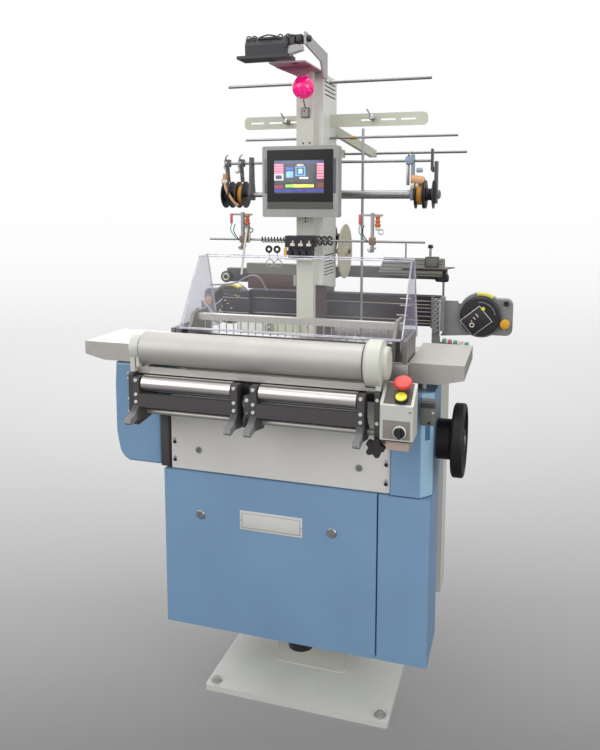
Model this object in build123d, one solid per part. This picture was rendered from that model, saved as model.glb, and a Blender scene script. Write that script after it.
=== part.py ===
from build123d import *
import os

# Needle loom for narrow fabric, standing on a pedestal with a square foot plate.
# Millimetres. X runs along the rollers to the operator's right, Y to the rear, Z up.
# The origin is on the floor, under the middle of the foot plate.

# Foot and pedestal
foot_width = 488
foot_depth = 524
foot_thickness = 15
anchor_x = 221
anchor_y = 240
anchor_hole_radius = 9
pedestal_width = 192
pedestal_depth = 220
pedestal_wall = 8
bed_floor = 602

# Front cabinet, its tip-out panel and its side door
cabinet_left = -346
cabinet_right = 336
cabinet_front = -250
cabinet_back = -112
cabinet_bottom = 183
cabinet_wall = 3
panel_front = -270
panel_back = -252
panel_split = 213
panel_gap = 1.5
sheet = 2
lock_z = 490
left_lock_x = -244
right_lock_x = 102

# Machine bed and the casings on its two ends
bed_left = -324
bed_right = 324
bed_front = -256
bed_back = 215
bed_top = 860
bed_step_x = 240
bed_step_y = -95
bed_wall = 8
plate_left = -326
plate_right = 240
cover_right = 336
cover_front = -268
cover_back = -97
cover_top = 848

# Main shaft, handwheel and belt drive
shaft_y = -180
shaft_z = 722
shaft_radius = 12
wheel_radius = 87.5
motor_z = 290
belt_x0 = 264
belt_x1 = 284
belt_thickness = 6
big_pulley_radius = 55
small_pulley_radius = 28

# Take-down rollers
roller_y = -340
roller_z = 932
roller_radius = 40
roller_left = -351
roller_right = 197
draw_y = -315
draw_z = 846
draw_radius = 31.6
nip_y = -366
nip_z = 851
nip_radius = 19.2
rod_y = -345
rod_z = 776
rod_radius = 7.5
running_gap = 0.05
side_plate_left = -378
side_plate_right = 236
side_plate_thickness = 12

# Control box with a sloped top
slope_angle = 31.66
button_x = 284
button_radius = 8
estop_seat = 50
start_seat = 19
knob_x = 230
knob_z = 757

# Trays
tray_top = 917
tray_front = -250

# Guard
guard_left = -310
guard_right = 261
guard_sheet = 4
hinge_y = -246
hinge_z = 958

# Knitting zone
needle_pitch = 10
needle_count = 50
needle_left = -270
bed_comb_left = -292
bed_comb_right = 242

# Column and creel
column_left = -137
column_right = -84
column_front_y = 198
column_top = 1656
box_left = -125
box_right = -62
box_front = 224
box_back = 380
box_bottom = 1030
creel_y = 300
bobbin_z = 1303
shelf_top = 866

# Cross beam and weft feeders
beam_front = 372
beam_back = 417
beam_bottom = 894
beam_top = 988
beam_left = -358
beam_right = 275
feeder_z = 933
feeder_radius = 61
feeder_centre_x = -21
feeder_reach = 418

# Yarn feed disc behind the column
disc_y = 440
disc_z = 1119

# Lamp head pivot
lamp_y = 44
lamp_z = 1716

# Screen
screen_left = -221
screen_right = 8
screen_bottom = 1237
screen_top = 1441
screen_front = 135
screen_back = 178


def block(x0, x1, y0, y1, z0, z1):
    """Box between two corners."""
    centre = Pos((x0 + x1) / 2, (y0 + y1) / 2, (z0 + z1) / 2)
    return centre * Box(x1 - x0, y1 - y0, z1 - z0)


def bar_x(x0, x1, y, z, radius):
    """Round bar along X."""
    return Pos((x0 + x1) / 2, y, z) * Rot(0, 90, 0) * Cylinder(radius, x1 - x0)


def bar_y(y0, y1, x, z, radius):
    """Round bar along Y."""
    return Pos(x, (y0 + y1) / 2, z) * Rot(90, 0, 0) * Cylinder(radius, y1 - y0)


def bar_z(z0, z1, x, y, radius):
    """Round bar along Z."""
    return Pos(x, y, (z0 + z1) / 2) * Cylinder(radius, z1 - z0)


def profile_x(x0, x1, points):
    """Plate whose outline is given as (Y, Z) points, from x0 to x1."""
    face = Plane.YZ.offset(x0) * Polygon(*points, align=None)
    return extrude(face, amount=x1 - x0, dir=(1, 0, 0))


def profile_y(y0, y1, points):
    """Plate whose outline is given as (X, Z) points, from y0 to y1."""
    face = Plane.XZ.offset(-y1) * Polygon(*points, align=None)
    return extrude(face, amount=y1 - y0, dir=(0, -1, 0))


def profile_z(z0, z1, points):
    """Plate whose outline is given as (X, Y) points, from z0 to z1."""
    face = Plane.XY.offset(z0) * Polygon(*points, align=None)
    return extrude(face, amount=z1 - z0, dir=(0, 0, 1))


def turned(points):
    """Solid turned about its own Z axis from (radius, height) points."""
    face = Plane.XZ * Polygon(*points, align=None)
    return revolve(face, Axis.Z)


def along_x(solid, x, y, z):
    """Place a turned solid with its own Z axis along X."""
    return Pos(x, y, z) * Rot(0, 90, 0) * solid


def along_front(solid, x, y, z):
    """Place a turned solid with its own Z axis pointing at the operator."""
    return Pos(x, y, z) * Rot(90, 0, 0) * solid


def pedestal():
    foot = block(-foot_width / 2, foot_width / 2, -foot_depth / 2, foot_depth / 2, 0, foot_thickness)
    foot = fillet(foot.edges().filter_by(Axis.Z), 8)
    half_w = pedestal_width / 2
    half_d = pedestal_depth / 2
    tube = block(-half_w, half_w, -half_d, half_d, foot_thickness, bed_floor)
    tube = fillet(tube.edges().filter_by(Axis.Z), 12)
    hollow = block(
        pedestal_wall - half_w, half_w - pedestal_wall,
        pedestal_wall - half_d, half_d - pedestal_wall,
        foot_thickness, bed_floor - 12,
    )
    body = foot + (tube - hollow)
    for x in (-anchor_x, anchor_x):
        for y in (-anchor_y, anchor_y):
            body -= bar_z(-1, foot_thickness + 1, x, y, anchor_hole_radius)
    return body


def front_cabinet():
    outer = block(cabinet_left, cabinet_right, cabinet_front, cabinet_back, cabinet_bottom, bed_floor - 1)
    left_room = block(
        cabinet_left + cabinet_wall, panel_split - 2,
        cabinet_front - 1, cabinet_back - cabinet_wall,
        cabinet_bottom + cabinet_wall, bed_floor - 1 - cabinet_wall,
    )
    right_room = block(
        panel_split + 1, cabinet_right - cabinet_wall,
        cabinet_front - 1, cabinet_back - cabinet_wall,
        cabinet_bottom + cabinet_wall, bed_floor - 1 - cabinet_wall,
    )
    belt_slot = block(belt_x0 - 8, belt_x1 + 8, shaft_y - 60, shaft_y + 60, bed_floor - 10, bed_floor + 5)
    motor_hole = bar_x(panel_split - 5, panel_split + 5, shaft_y, motor_z, 40)
    gland = bar_z(138, cabinet_bottom, 3, -200, 33) - bar_z(130, cabinet_bottom, 3, -200, 25)
    body = outer - left_room - right_room - belt_slot - motor_hole
    body -= bar_z(cabinet_bottom - 1, cabinet_bottom + 10, 3, -200, 25)
    return body + gland


def folded_panel(x0, x1):
    z0 = cabinet_bottom + 1
    z1 = bed_floor - 2
    outer = block(x0, x1, panel_front, panel_back, z0, z1)
    outer = fillet(outer.edges().filter_by(Axis.Z).group_by(Axis.Y)[0], 3)
    inner = block(x0 + sheet, x1 - sheet, panel_front + sheet, panel_back + 1, z0 + sheet, z1 - sheet)
    return outer - inner


def front_panel():
    body = folded_panel(cabinet_left, panel_split - panel_gap)
    for x in (left_lock_x, right_lock_x):
        body -= bar_y(panel_front - 1, panel_front + sheet + 1, x, lock_z, 9 + running_gap)
    return body


def side_door():
    return folded_panel(panel_split + panel_gap, cabinet_right)


def quarter_turn_lock(x):
    head = turned([(0, 0), (12, 0), (12, 2), (10, 4), (0, 4)])
    slot = Pos(0, 0, 4) * Box(2.4, 16, 2.4)
    shank = Pos(0, 0, -6) * Cylinder(9, 12)
    tongue = Pos(0, 12, -10) * Box(12, 36, 3)
    body = (head - slot) + shank + tongue
    return along_front(body, x, panel_front, lock_z)


def rear_cabinet():
    outer = block(-324, 324, 113, bed_back, 165, bed_floor - 1)
    outer = fillet(outer.edges().filter_by(Axis.Z).group_by(Axis.Y)[-1], 8)
    inner = block(-321, 321, 116, bed_back - 3, 168, bed_floor - 4)
    body = outer - inner
    for row in range(8):
        z = 470 + row * 14
        body -= block(-120, 120, bed_back - 5, bed_back + 1, z, z + 5)
    return body


def drive_motor():
    stator = turned([(0, 0), (54, 0), (58, 6), (58, 150), (52, 160), (0, 160)])
    body = stator
    for angle in range(0, 360, 20):
        fin = Pos(59, 0, 76) * Box(8, 2.5, 132)
        body += Rot(0, 0, angle) * fin
    body += Pos(0, 0, 160) * Cylinder(54, 34, align=(Align.CENTER, Align.CENTER, Align.MIN))
    body = along_x(body, 0, shaft_y, motor_z)
    foot = profile_x(20, 130, [
        (shaft_y - 60, cabinet_bottom + cabinet_wall), (shaft_y + 60, cabinet_bottom + cabinet_wall),
        (shaft_y + 60, cabinet_bottom + 14), (shaft_y + 35, motor_z - 50),
        (shaft_y - 35, motor_z - 50), (shaft_y - 60, cabinet_bottom + 14),
    ])
    bore = bar_x(-10, 260, shaft_y, motor_z, 11 + running_gap)
    return body + foot - bore


def pulley(radius, bore_radius):
    rim = radius + 4
    body = turned([
        (bore_radius, -16), (rim, -16), (rim, -12.5), (radius, -10.5),
        (radius, 10.5), (rim, 12.5), (rim, 16), (bore_radius, 16),
    ])
    return body


def motor_pulley():
    middle = (belt_x0 + belt_x1) / 2
    wheel = along_x(pulley(small_pulley_radius, 8), middle, shaft_y, motor_z)
    shaft = bar_x(2, middle + 20, shaft_y, motor_z, 11)
    return wheel + shaft


def drive_belt():
    def loop(grow):
        low = Pos(shaft_y, motor_z) * Circle(small_pulley_radius + 0.3 + grow)
        high = Pos(shaft_y, shaft_z) * Circle(big_pulley_radius + 0.3 + grow)
        return make_hull([*low.edges(), *high.edges()])
    outer = extrude(Plane.YZ.offset(belt_x0) * loop(belt_thickness), amount=belt_x1 - belt_x0)
    inner = extrude(Plane.YZ.offset(belt_x0 - 1) * loop(0), amount=belt_x1 - belt_x0 + 2)
    return outer - inner


def bed_outline(inset):
    return [
        (bed_left + inset, bed_front + inset), (bed_step_x - inset, bed_front + inset),
        (bed_step_x - inset, bed_step_y + inset), (bed_right - inset, bed_step_y + inset),
        (bed_right - inset, bed_back - inset), (bed_left + inset, bed_back - inset),
    ]


def machine_bed():
    shell = profile_z(bed_floor, bed_top, bed_outline(0))
    room = profile_z(bed_floor + 10, bed_top - 10, bed_outline(bed_wall))
    bores = bar_x(40, bed_step_x + 5, shaft_y, shaft_z, shaft_radius + running_gap)
    bearing = bar_x(60, 90, shaft_y, shaft_z, 30)
    web = block(60, 90, bed_front + bed_wall, bed_step_y, bed_floor + 10, shaft_z)
    return (shell - room) + bearing + web - bores


def front_plate():
    body = block(plate_left, plate_right, -262, bed_front, bed_floor + 1, bed_top)
    return fillet(body.edges().filter_by(Axis.Y), 3)


def left_end_case():
    face = Plane.XZ.offset(250) * make_face(
        Polyline((-362, 866), (-491, 866), (-495, 800), (-495, 680), (-488, 640))
        + RadiusArc((-488, 640), (-458, 602), -46)
        + Polyline((-458, 602), (-362, 602), (-362, 866))
    )
    outer = extrude(face, amount=-290)
    outer = fillet(outer.edges().group_by(Axis.Y)[0], 6)
    room = block(-487, -370, -242, 32, 612, 856)
    room = room & (Pos(12, 0, 14) * outer)
    flange = block(-362, bed_left, -150, 0, 640, 820)
    return (outer - room) + flange


def right_gear_cover():
    outer = profile_z(bed_floor + 1, cover_top, [
        (bed_step_x + 1, cover_front), (cover_right - 26, cover_front),
        (cover_right, cover_front + 30), (cover_right, cover_back), (bed_step_x + 1, cover_back),
    ])
    outer = fillet(outer.edges().filter_by(Axis.Z).group_by(Axis.Y)[0], 5)
    room = profile_z(bed_floor, cover_top - 5, [
        (bed_step_x, cover_front + 5), (cover_right - 28, cover_front + 5),
        (cover_right - 5, cover_front + 32), (cover_right - 5, cover_back - 5), (bed_step_x, cover_back - 5),
    ])
    boss = bar_x(cover_right - 8, cover_right + 3, shaft_y, shaft_z, 44)
    bore = bar_x(cover_right - 20, cover_right + 20, shaft_y, shaft_z, shaft_radius + running_gap)
    return (outer - room) + boss - bore


def tray(x0, x1, back, outer_left):
    drop_inner = 47
    drop_outer = 34
    slant = 56
    if outer_left:
        lip = [
            (x0, tray_top), (x1, tray_top), (x1, tray_top - drop_inner),
            (x0 + slant, tray_top - drop_inner), (x0, tray_top - drop_outer),
        ]
    else:
        lip = [
            (x0, tray_top), (x1, tray_top), (x1, tray_top - drop_outer),
            (x1 - slant, tray_top - drop_inner), (x0, tray_top - drop_inner),
        ]
    outer = profile_y(tray_front, back, lip)
    inner = [
        (x0 + sheet, tray_top - sheet), (x1 - sheet, tray_top - sheet),
        (x1 - sheet, tray_top - 70), (x0 + sheet, tray_top - 70),
    ]
    body = outer - profile_y(tray_front + sheet, back - sheet, inner)
    return body


def left_tray():
    body = tray(-581, -345, -60, True)
    for x in (-450, -390):
        body += bar_z(866, tray_top - sheet, x, -150, 8)
    return body


def right_tray():
    body = tray(277, 403, -5, False)
    for y in (-200, -130):
        body += bar_z(cover_top, tray_top - sheet, 305, y, 8)
    return body


def side_plate(x0, x1, back):
    face = Plane.YZ.offset(x0) * Polygon(
        (back, 752), (-352, 740), (-376, 752), (-376, 876), (back, 876), align=None,
    )
    body = extrude(face, amount=x1 - x0, dir=(1, 0, 0))
    body = fillet(body.edges().filter_by(Axis.X).group_by(Axis.Y)[0], 6)
    body -= bar_x(x0 - 1, x1 + 1, draw_y, draw_z, 10 + running_gap)
    return body


def left_side_plate():
    return side_plate(side_plate_left, side_plate_left + side_plate_thickness, -250)


def right_side_plate():
    body = side_plate(side_plate_right - side_plate_thickness, side_plate_right, -262)
    return body - bar_y(-390, -340, knob_x, knob_z, 3 + running_gap)


def left_roller_bracket():
    drum = bar_x(-378, -354, roller_y, roller_z, 33)
    leg = block(-378, -366, -366, -314, 876, roller_z)
    body = drum + leg
    tongue = block(-362, -354, -366, -350, 889, roller_z)
    body += tongue
    return body - bar_x(-390, -340, roller_y, roller_z, shaft_radius + running_gap)


def right_roller_bracket():
    drum = turned([(0, 0), (46, 0), (52, 6), (52, 36), (38, 40), (38, 47), (34, 50), (0, 50)])
    body = along_x(drum, 199, roller_y, roller_z)
    body += block(224, side_plate_right, -366, -314, 876, roller_z)
    return body - bar_x(190, 240, roller_y, roller_z, shaft_radius + running_gap)


def guide_bar():
    x0 = side_plate_left + side_plate_thickness
    x1 = side_plate_right - side_plate_thickness
    return block(x0, 198, -352, -346, 870.5, 887) + block(198, x1, -352, -346, 870.5, 877.5)


def nip_rod():
    x0 = side_plate_left + side_plate_thickness
    x1 = side_plate_right - side_plate_thickness
    rod = bar_x(x0, x1, rod_y, rod_z, rod_radius)
    middle = profile_x(-88, -65, [
        (-262, 768), (-340, 762), (-358, 768), (-360, 784), (-350, 800), (-262, 812),
    ])
    return rod + middle


def takedown_roller():
    half = (roller_right - roller_left) / 2
    body = turned([
        (0, -half), (30, -half), (32, -half + 3), (roller_radius, -half + 3),
        (roller_radius, half - 3), (32, half - 3), (30, half), (0, half),
    ])
    body = along_x(body, (roller_left + roller_right) / 2, roller_y, roller_z)
    return body + bar_x(-376, 235, roller_y, roller_z, shaft_radius)


def draw_roller():
    barrel = bar_x(-340, 186, draw_y, draw_z, draw_radius)
    return barrel + bar_x(side_plate_left, side_plate_right, draw_y, draw_z, 10)


def nip_roll(x0, x1):
    half = (x1 - x0) / 2 - 2
    body = turned([
        (0, -half), (nip_radius - 1.5, -half), (nip_radius, -half + 1.5),
        (nip_radius, half - 1.5), (nip_radius - 1.5, half), (0, half),
    ])
    middle = (x0 + x1) / 2
    return along_x(body, middle, nip_y, nip_z) + bar_x(x0 - 10, x1 + 10, nip_y, nip_z, 7)


def nip_frame(x0, x1):
    """Two hooked side plates on the nip rod, joined by a flat bar under the roll."""
    cheek = 16
    outline = make_face(
        Polyline((-354, 868), (-388, 868), (-388, 800))
        + ThreePointArc((-388, 800), (-404, 786), (-428, 778))
        + Polyline((-428, 778), (-432, 768), (-424, 762), (-400, 768), (-372, 764), (-346, 759))
        + ThreePointArc((-346, 759), (-328, 776), (-340, 792))
        + Polyline((-340, 792), (-352, 812), (-354, 868))
    )
    body = None
    for x in (x0 - cheek, x1):
        plate = extrude(Plane.YZ.offset(x) * outline, amount=cheek, dir=(1, 0, 0))
        plate = fillet(plate.edges().filter_by(Axis.X).group_by(Axis.Z)[-1], 8)
        body = plate if body is None else body + plate
    body += block(x0, x1, -388, -376, 797, 829)
    body -= bar_x(x0 - 20, x1 + 20, rod_y, rod_z, rod_radius + running_gap)
    body -= bar_x(x0 - 10.3, x1 + 10.3, nip_y, nip_z, 7 + running_gap)
    return body


def control_box():
    left = 240
    right = 312
    body = profile_x(left, right, [(-400, 780), (-400, 856), (-340, 893), (-340, 780)])
    body = fillet(body.edges().filter_by(Axis.Z).group_by(Axis.Y)[0], 4)
    mount = block(254, 303, -394, -362, 757, 780) + block(236, 303, -362, -350, 757, 780)
    spacer = block(236, 240, -374, -341, 790, 860)
    collar = Cylinder(13, 13.5, align=(Align.CENTER, Align.CENTER, Align.MIN))
    bezel = Cylinder(11, 4, align=(Align.CENTER, Align.CENTER, Align.MIN))
    body = body + mount + spacer + on_slope(collar, button_x, estop_seat) + on_slope(bezel, button_x, start_seat)
    body -= slope_bore(button_radius + running_gap, button_x, estop_seat)
    body -= slope_bore(button_radius + running_gap, button_x, start_seat)
    body -= bar_y(-401, -384, button_x, 800, button_radius + running_gap)
    return body


def on_slope(solid, x, distance):
    """Place a turned solid on the box's sloped top, at a distance up the slope."""
    return Pos(x, -400, 856) * Rot(slope_angle, 0, 0) * Pos(0, distance, 0) * solid


def slope_bore(radius, x, distance):
    tool = Cylinder(radius, 40)
    return on_slope(tool, x, distance)


def estop_button():
    head = turned([
        (0, -12), (button_radius, -12), (button_radius, 18), (15, 18.5), (19.5, 22), (20, 26),
        (18, 31), (10, 34), (0, 35),
    ])
    return on_slope(head, button_x, estop_seat)


def start_button():
    head = turned([(0, -12), (button_radius, -12), (button_radius, 7), (6.5, 8.5), (0, 8.5)])
    return on_slope(head, button_x, start_seat)


def selector_switch():
    body = turned([(0, -12), (button_radius, -12), (button_radius, 0.5), (14.5, 0.5), (14.5, 5), (12, 7), (0, 7)])
    grip = Pos(0, 0, 11) * Box(6, 23, 10)
    return along_front(body + grip, button_x, -400, 800)


def clamp_knob():
    core = Cylinder(15, 16, align=(Align.CENTER, Align.CENTER, Align.MIN))
    body = core
    for angle in range(0, 360, 72):
        lobe = Pos(15, 0, 0) * Cylinder(6.5, 16, align=(Align.CENTER, Align.CENTER, Align.MIN))
        body += Rot(0, 0, angle) * lobe
    body += Pos(0, 0, -5) * Cylinder(9, 5, align=(Align.CENTER, Align.CENTER, Align.MIN))
    body += Pos(0, 0, -25) * Cylinder(3, 22, align=(Align.CENTER, Align.CENTER, Align.MIN))
    return along_front(body, knob_x, -381.5, knob_z)


def guard():
    outer = [(-240, 966), (-115, 1140), (-65, 1142), (0, 932)]
    shell = profile_x(guard_left, guard_right, outer)
    room = profile_x(guard_left + guard_sheet, guard_right - guard_sheet, [
        (-235, 960), (-113, 1135.6), (-67.5, 1137.8), (-68, 1160), (60, 1160), (60, 900), (-235, 900),
    ])
    keep_top = block(guard_left, guard_right, -114, -65, 1136, 1142)
    body = shell - room
    body += keep_top & profile_x(guard_left, guard_right, [(-115, 1140), (-65, 1142), (-65, 1138), (-112, 1136)])
    body += block(guard_left, guard_right, -254, -238, 964, 968)
    for x0, x1 in ((guard_left - 12, guard_left), (guard_right, guard_right + 12)):
        body += bar_x(x0, x1, hinge_y, hinge_z, 5)
    for x0 in (guard_left, guard_right - guard_sheet):
        body += block(x0, x0 + guard_sheet, hinge_y - 8, hinge_y + 12, hinge_z - 8, 966)
    return body


def needle_bed():
    base = block(bed_comb_left, bed_comb_right, -240, -120, bed_top, 872)
    wall = block(bed_comb_left, bed_comb_right, -226, -196, 872, 940)
    body = base + wall
    for index in range(needle_count):
        x = needle_left + index * needle_pitch
        body -= block(x - 1.5, x + 1.5, -230, -190, 926, 945)
    for x0, x1 in ((bed_comb_left, bed_comb_left + 8), (bed_comb_right - 8, bed_comb_right)):
        cheek = profile_x(x0, x1, [(-226, 866), (-226, 964), (-196, 1002), (-120, 1002), (-100, 960), (-100, 866)])
        cheek -= block(x0 - 1, x1 + 1, -178.3, -121.7, 919.7, 940.3)
        cheek -= block(x0 - 1, x1 + 1, -190.3, -169.7, 979.7, 996.3)
        body += cheek
    for x0, x1 in ((guard_left - 12, guard_left - 3), (guard_right + 3, guard_right + 12)):
        ear = block(x0, x1, -262 + 2, -120, bed_top, 968)
        ear -= bar_x(x0 - 1, x1 + 1, hinge_y, hinge_z, 5 + running_gap)
        body += ear
        inner = bed_comb_left if x0 < 0 else bed_comb_right
        body += block(min(x0, inner), max(x1, inner), -232, -120, bed_top, 870)
    return body


def needle_bar():
    body = block(bed_comb_left, bed_comb_right, -160, -134, 920, 940)
    for index in range(needle_count):
        x = needle_left + index * needle_pitch
        body += block(x - 1, x + 1, -222, -160, 930, 932)
        body += block(x - 1, x + 1, -224, -222, 930, 935)
    return body


def thread_guide_bar():
    body = block(bed_comb_left - 8, bed_comb_right + 8, -190, -170, 980, 996)
    for index in range(0, needle_count, 2):
        x = needle_left + needle_pitch / 2 + index * needle_pitch
        body += bar_z(946, 980, x, -180, 1.6)
    return body


def main_shaft():
    shaft = bar_x(44, 404, shaft_y, shaft_z, shaft_radius)
    middle = (belt_x0 + belt_x1) / 2
    wheel = along_x(pulley(big_pulley_radius, 8), middle, shaft_y, shaft_z)
    return shaft + wheel


def handwheel():
    body = turned([
        (shaft_radius, 0), (48, 0), (48, 30), (42, 36), (30, 37), (30, 40),
        (70, 40), (72, 36), (82, 36), (86, 38), (wheel_radius, 41), (wheel_radius, 59), (86, 62),
        (82, 64), (72, 64), (70, 55), (30, 52), (26, 62), (shaft_radius, 62),
    ])
    for angle in range(0, 360, 60):
        body -= Rot(0, 0, angle) * Pos(50, 0, 50) * Cylinder(12, 40)
    return along_x(body, 340, shaft_y, shaft_z)


def column_front():
    outer = block(column_left, column_right, column_front_y, column_front_y + 26, shelf_top, column_top)
    inner = block(
        column_left + 3, column_right - 3, column_front_y + 3, column_front_y + 30, shelf_top - 1, column_top - 3,
    )
    outer = fillet(outer.edges().filter_by(Axis.Z).group_by(Axis.Y)[0], 2)
    return outer - inner


def column_box():
    outer = profile_x(box_left, box_right, [
        (box_front, box_bottom), (box_back, box_bottom - 24), (box_back, column_top), (box_front, column_top),
    ])
    room = block(box_left + 3, box_right - 3, box_front + 3, box_back - 3, box_bottom + 3, column_top - 3)
    body = outer - room
    for row in range(4):
        z = 1596 + row * 12.5
        body -= block(box_right - 5, box_right + 1, box_front + 15, box_back - 15, z, z + 4)
    for row in range(7):
        z = 1056 + row * 10
        body -= block(box_right - 5, box_right + 1, box_front + 20, box_back - 20, z, z + 4)
    return body


def column_core():
    slope = 24 / (box_back - box_front)
    rear_top = box_bottom - slope * (345 - box_front)
    post = profile_x(-130, -82, [
        (box_front, shelf_top), (345, shelf_top), (345, rear_top), (box_front, box_bottom),
    ])
    post -= block(-124, -88, box_front + 6, 339, shelf_top, rear_top - 6)
    shelf = block(-190, 190, bed_back, 462, shelf_top - 14, shelf_top)
    body = post + shelf
    for x in (-190, -100, 60, 178):
        body += profile_x(x, x + 12, [(bed_back, 720), (bed_back, shelf_top - 14), (455, shelf_top - 14), (455, 835)])
    body += block(-190, 190, bed_back, bed_back + 12, 720, shelf_top - 14)
    body += block(-126, -86, 345, beam_front, 920, 960)
    return body


def rear_rack():
    post = block(-114, -86, 428, 458, shelf_top, 1205)
    arm = block(-114, -86, 458, 536, 1024, 1062)
    bar = block(-433, 275, 536, 572, 1024, 1062)
    top = profile_z(1062, 1066, [(133, 490), (275, 490), (300, 552), (133, 572)])
    stub = bar_x(-86, -28, disc_y, disc_z, 8)
    return post + arm + bar + top + stub


def cross_beam():
    body = block(beam_left, beam_right, beam_front, beam_back, beam_bottom, beam_top)
    for z in (912, 962):
        body -= block(beam_left - 1, beam_right + 1, beam_front - 1, beam_front + 4, z - 4, z + 4)
        body -= block(beam_left - 1, beam_right + 1, beam_front + 4, beam_front + 12, z - 8, z + 8)
    return body


def thread_rods():
    body = []
    for z, radius, left, right in ((1640, 5, -393, 244), (1474, 4, -337, 323), (1402, 4.5, -393, 247)):
        body.append(bar_x(left, box_left, creel_y, z, radius))
        body.append(bar_x(box_right, right, creel_y, z, radius))
    body.append(bar_x(-326, box_left, creel_y, bobbin_z, 8))
    body.append(bar_x(box_right, 198, creel_y, bobbin_z, 13))
    body.append(bar_z(shelf_top, 1500, 42, creel_y, 4))
    body.append(bar_x(-409, -157, 175, 1168, 3.5))
    body.append(bar_x(-73, 251, 175, 1168, 3.5))
    body.append(bar_x(-60, 335, 480, 1437, 4.5))
    return Compound(children=body)


def slotted_bars():
    parts = []
    for x0, x1 in ((-340, box_left), (box_right, 235)):
        bar = block(x0, x1, creel_y - 2, creel_y + 3, 1506, 1544)
        end = bar.edges().filter_by(Axis.Y).group_by(Axis.X)[0 if x0 < -200 else -1]
        bar = fillet(end, 14)
        start = x0 + 20 if x0 < -200 else x1 - 200
        for index in range(3):
            bar -= block(start + index * 60, start + 45 + index * 60, creel_y - 3, creel_y + 4, 1522, 1528)
        parts.append(bar)
    arm = profile_x(box_left + 12, box_left + 32, [
        (box_back, 1500), (box_back, 1530), (490, 1456), (490, 1424),
    ])
    arm += block(box_left + 12, -60, 474, 490, 1424, 1450)
    parts.append(arm)
    return Compound(children=parts)


def bobbin_brackets():
    parts = []
    for side in (-1, 1):
        x = -322 if side < 0 else 190
        plate = profile_x(x, x + 8, [
            (280, 1285), (276, 1303), (284, 1340), (288, 1420), (312, 1420), (316, 1340), (324, 1303), (320, 1285),
        ])
        plate -= bar_x(x - 1, x + 9, creel_y, 1402, 4.5)
        plate -= bar_x(x - 1, x + 9, creel_y, bobbin_z, 8 if side < 0 else 13)
        parts.append(plate)
    parts.append(bar_x(-420, -326, creel_y, bobbin_z, 6))
    parts.append(bar_x(198, 262, creel_y, bobbin_z, 6))
    return Compound(children=parts)


def bobbin():
    return turned([
        (6 + running_gap, -13), (42, -13), (42, -10), (20, -9), (17, 0), (20, 9), (42, 10), (42, 13),
        (6 + running_gap, 13),
    ])


def left_bobbins():
    first = along_x(bobbin(), -350, creel_y, bobbin_z)
    second = along_x(bobbin(), -396, creel_y, bobbin_z)
    sleeve = along_x(turned([
        (6 + running_gap, -14), (10, -14), (10, 14), (6 + running_gap, 14),
    ]), -373, creel_y, bobbin_z)
    return first + second + sleeve


def right_bobbins():
    first = along_x(bobbin(), 216, creel_y, bobbin_z)
    second = along_x(bobbin(), 245, creel_y, bobbin_z)
    sleeve = along_x(turned([
        (6 + running_gap, -4), (10, -4), (10, 4), (6 + running_gap, 4),
    ]), 230.5, creel_y, bobbin_z)
    return first + second + sleeve


def stop_motion():
    box = block(-157, -73, 150, column_front_y, 1148, 1182)
    socket = block(-150, -80, 160, column_front_y, 1116, 1148)
    body = box + socket
    for x in (-148, -126, -104, -82):
        body += bar_y(152, 160, x + 3, 1132, 8)
    parts = [body]
    for x in (-300, 100):
        post = profile_x(x - 4, x + 4, [(168, 1136), (168, 1250), (182, 1250), (182, 1136)])
        post -= bar_x(x - 5, x + 5, 175, 1168, 3.5)
        post += block(x - 40, x + 30, 172, 178, 1240, 1246)
        parts.append(post)
    return Compound(children=parts)


def feeder_body(side):
    """Weft feeder housing on an arm from the end plate of the cross beam; side is 1 right, -1 left."""
    centre = feeder_centre_x + side * feeder_reach
    inner = beam_right if side > 0 else beam_left
    outline = Pos(centre, feeder_z) * Circle(feeder_radius + 8)
    outline += Pos(centre + side * 48, feeder_z - 4) * RectangleRounded(94, 112, 20)
    shell = extrude(Plane.XZ.offset(-432) * outline, amount=38, dir=(0, -1, 0))
    arm_left, arm_right = sorted((inner + side * 6, centre - side * 50))
    arm = block(arm_left, arm_right, 400, 417, 905, 965)
    plate_left, plate_right = sorted((inner, inner + side * 12))
    plate = block(plate_left, plate_right, beam_front, beam_back, 881, 985)
    return shell + arm + plate - bar_y(380, 440, centre, feeder_z, 8 + running_gap)


def feeder_disc(side):
    centre = feeder_centre_x + side * feeder_reach
    disc = turned([
        (0, -50), (8, -50), (8, 0.5), (feeder_radius - 4, 0.5), (feeder_radius, 4),
        (feeder_radius, 14), (feeder_radius - 5, 18), (22, 18), (20, 22), (0, 22),
    ])
    return along_front(disc, centre, 392, feeder_z)


def feed_disc():
    bore = 8 + running_gap
    disc = turned([
        (bore, -25), (14, -25), (14, -5), (88, -3), (90, 0), (88, 3), (14, 5), (14, 12), (bore, 12),
    ])
    return along_x(disc, -46, disc_y, disc_z)


def screen_housing():
    body = block(screen_left, screen_right, screen_front, screen_back, screen_bottom, screen_top)
    body = fillet(body.edges().filter_by(Axis.Y), 6)
    body = chamfer(body.edges().group_by(Axis.Y)[-1], 4)
    body -= block(-206, -7, screen_front - 1, screen_front + 6, 1261, 1430)
    body += block(-128, -92, screen_back, column_front_y, 1290, 1390)
    return body


def touch_screen():
    body = block(-205.6, -7.4, screen_front - 2, screen_front + 6, 1261.4, 1429.6)
    body = fillet(body.edges().filter_by(Axis.Y), 4)
    window = block(-184, -34, screen_front - 3, screen_front - 0.8, 1303, 1400)
    return body - window


def lamp_arm():
    arm = profile_x(box_right, box_right + 6, [
        (200, 1640), (250, 1640), (250, 1714), (31, 1732), (31, 1700), (185, 1681), (200, 1660),
    ])
    shelf = profile_z(column_top, column_top + 4, [
        (-165, 40), (-62, 40), (-62, 235), (-110, 235), (-165, 150),
    ])
    head_pin = bar_x(-102, box_right, lamp_y, lamp_z, 6)
    return arm + shelf + head_pin


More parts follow.
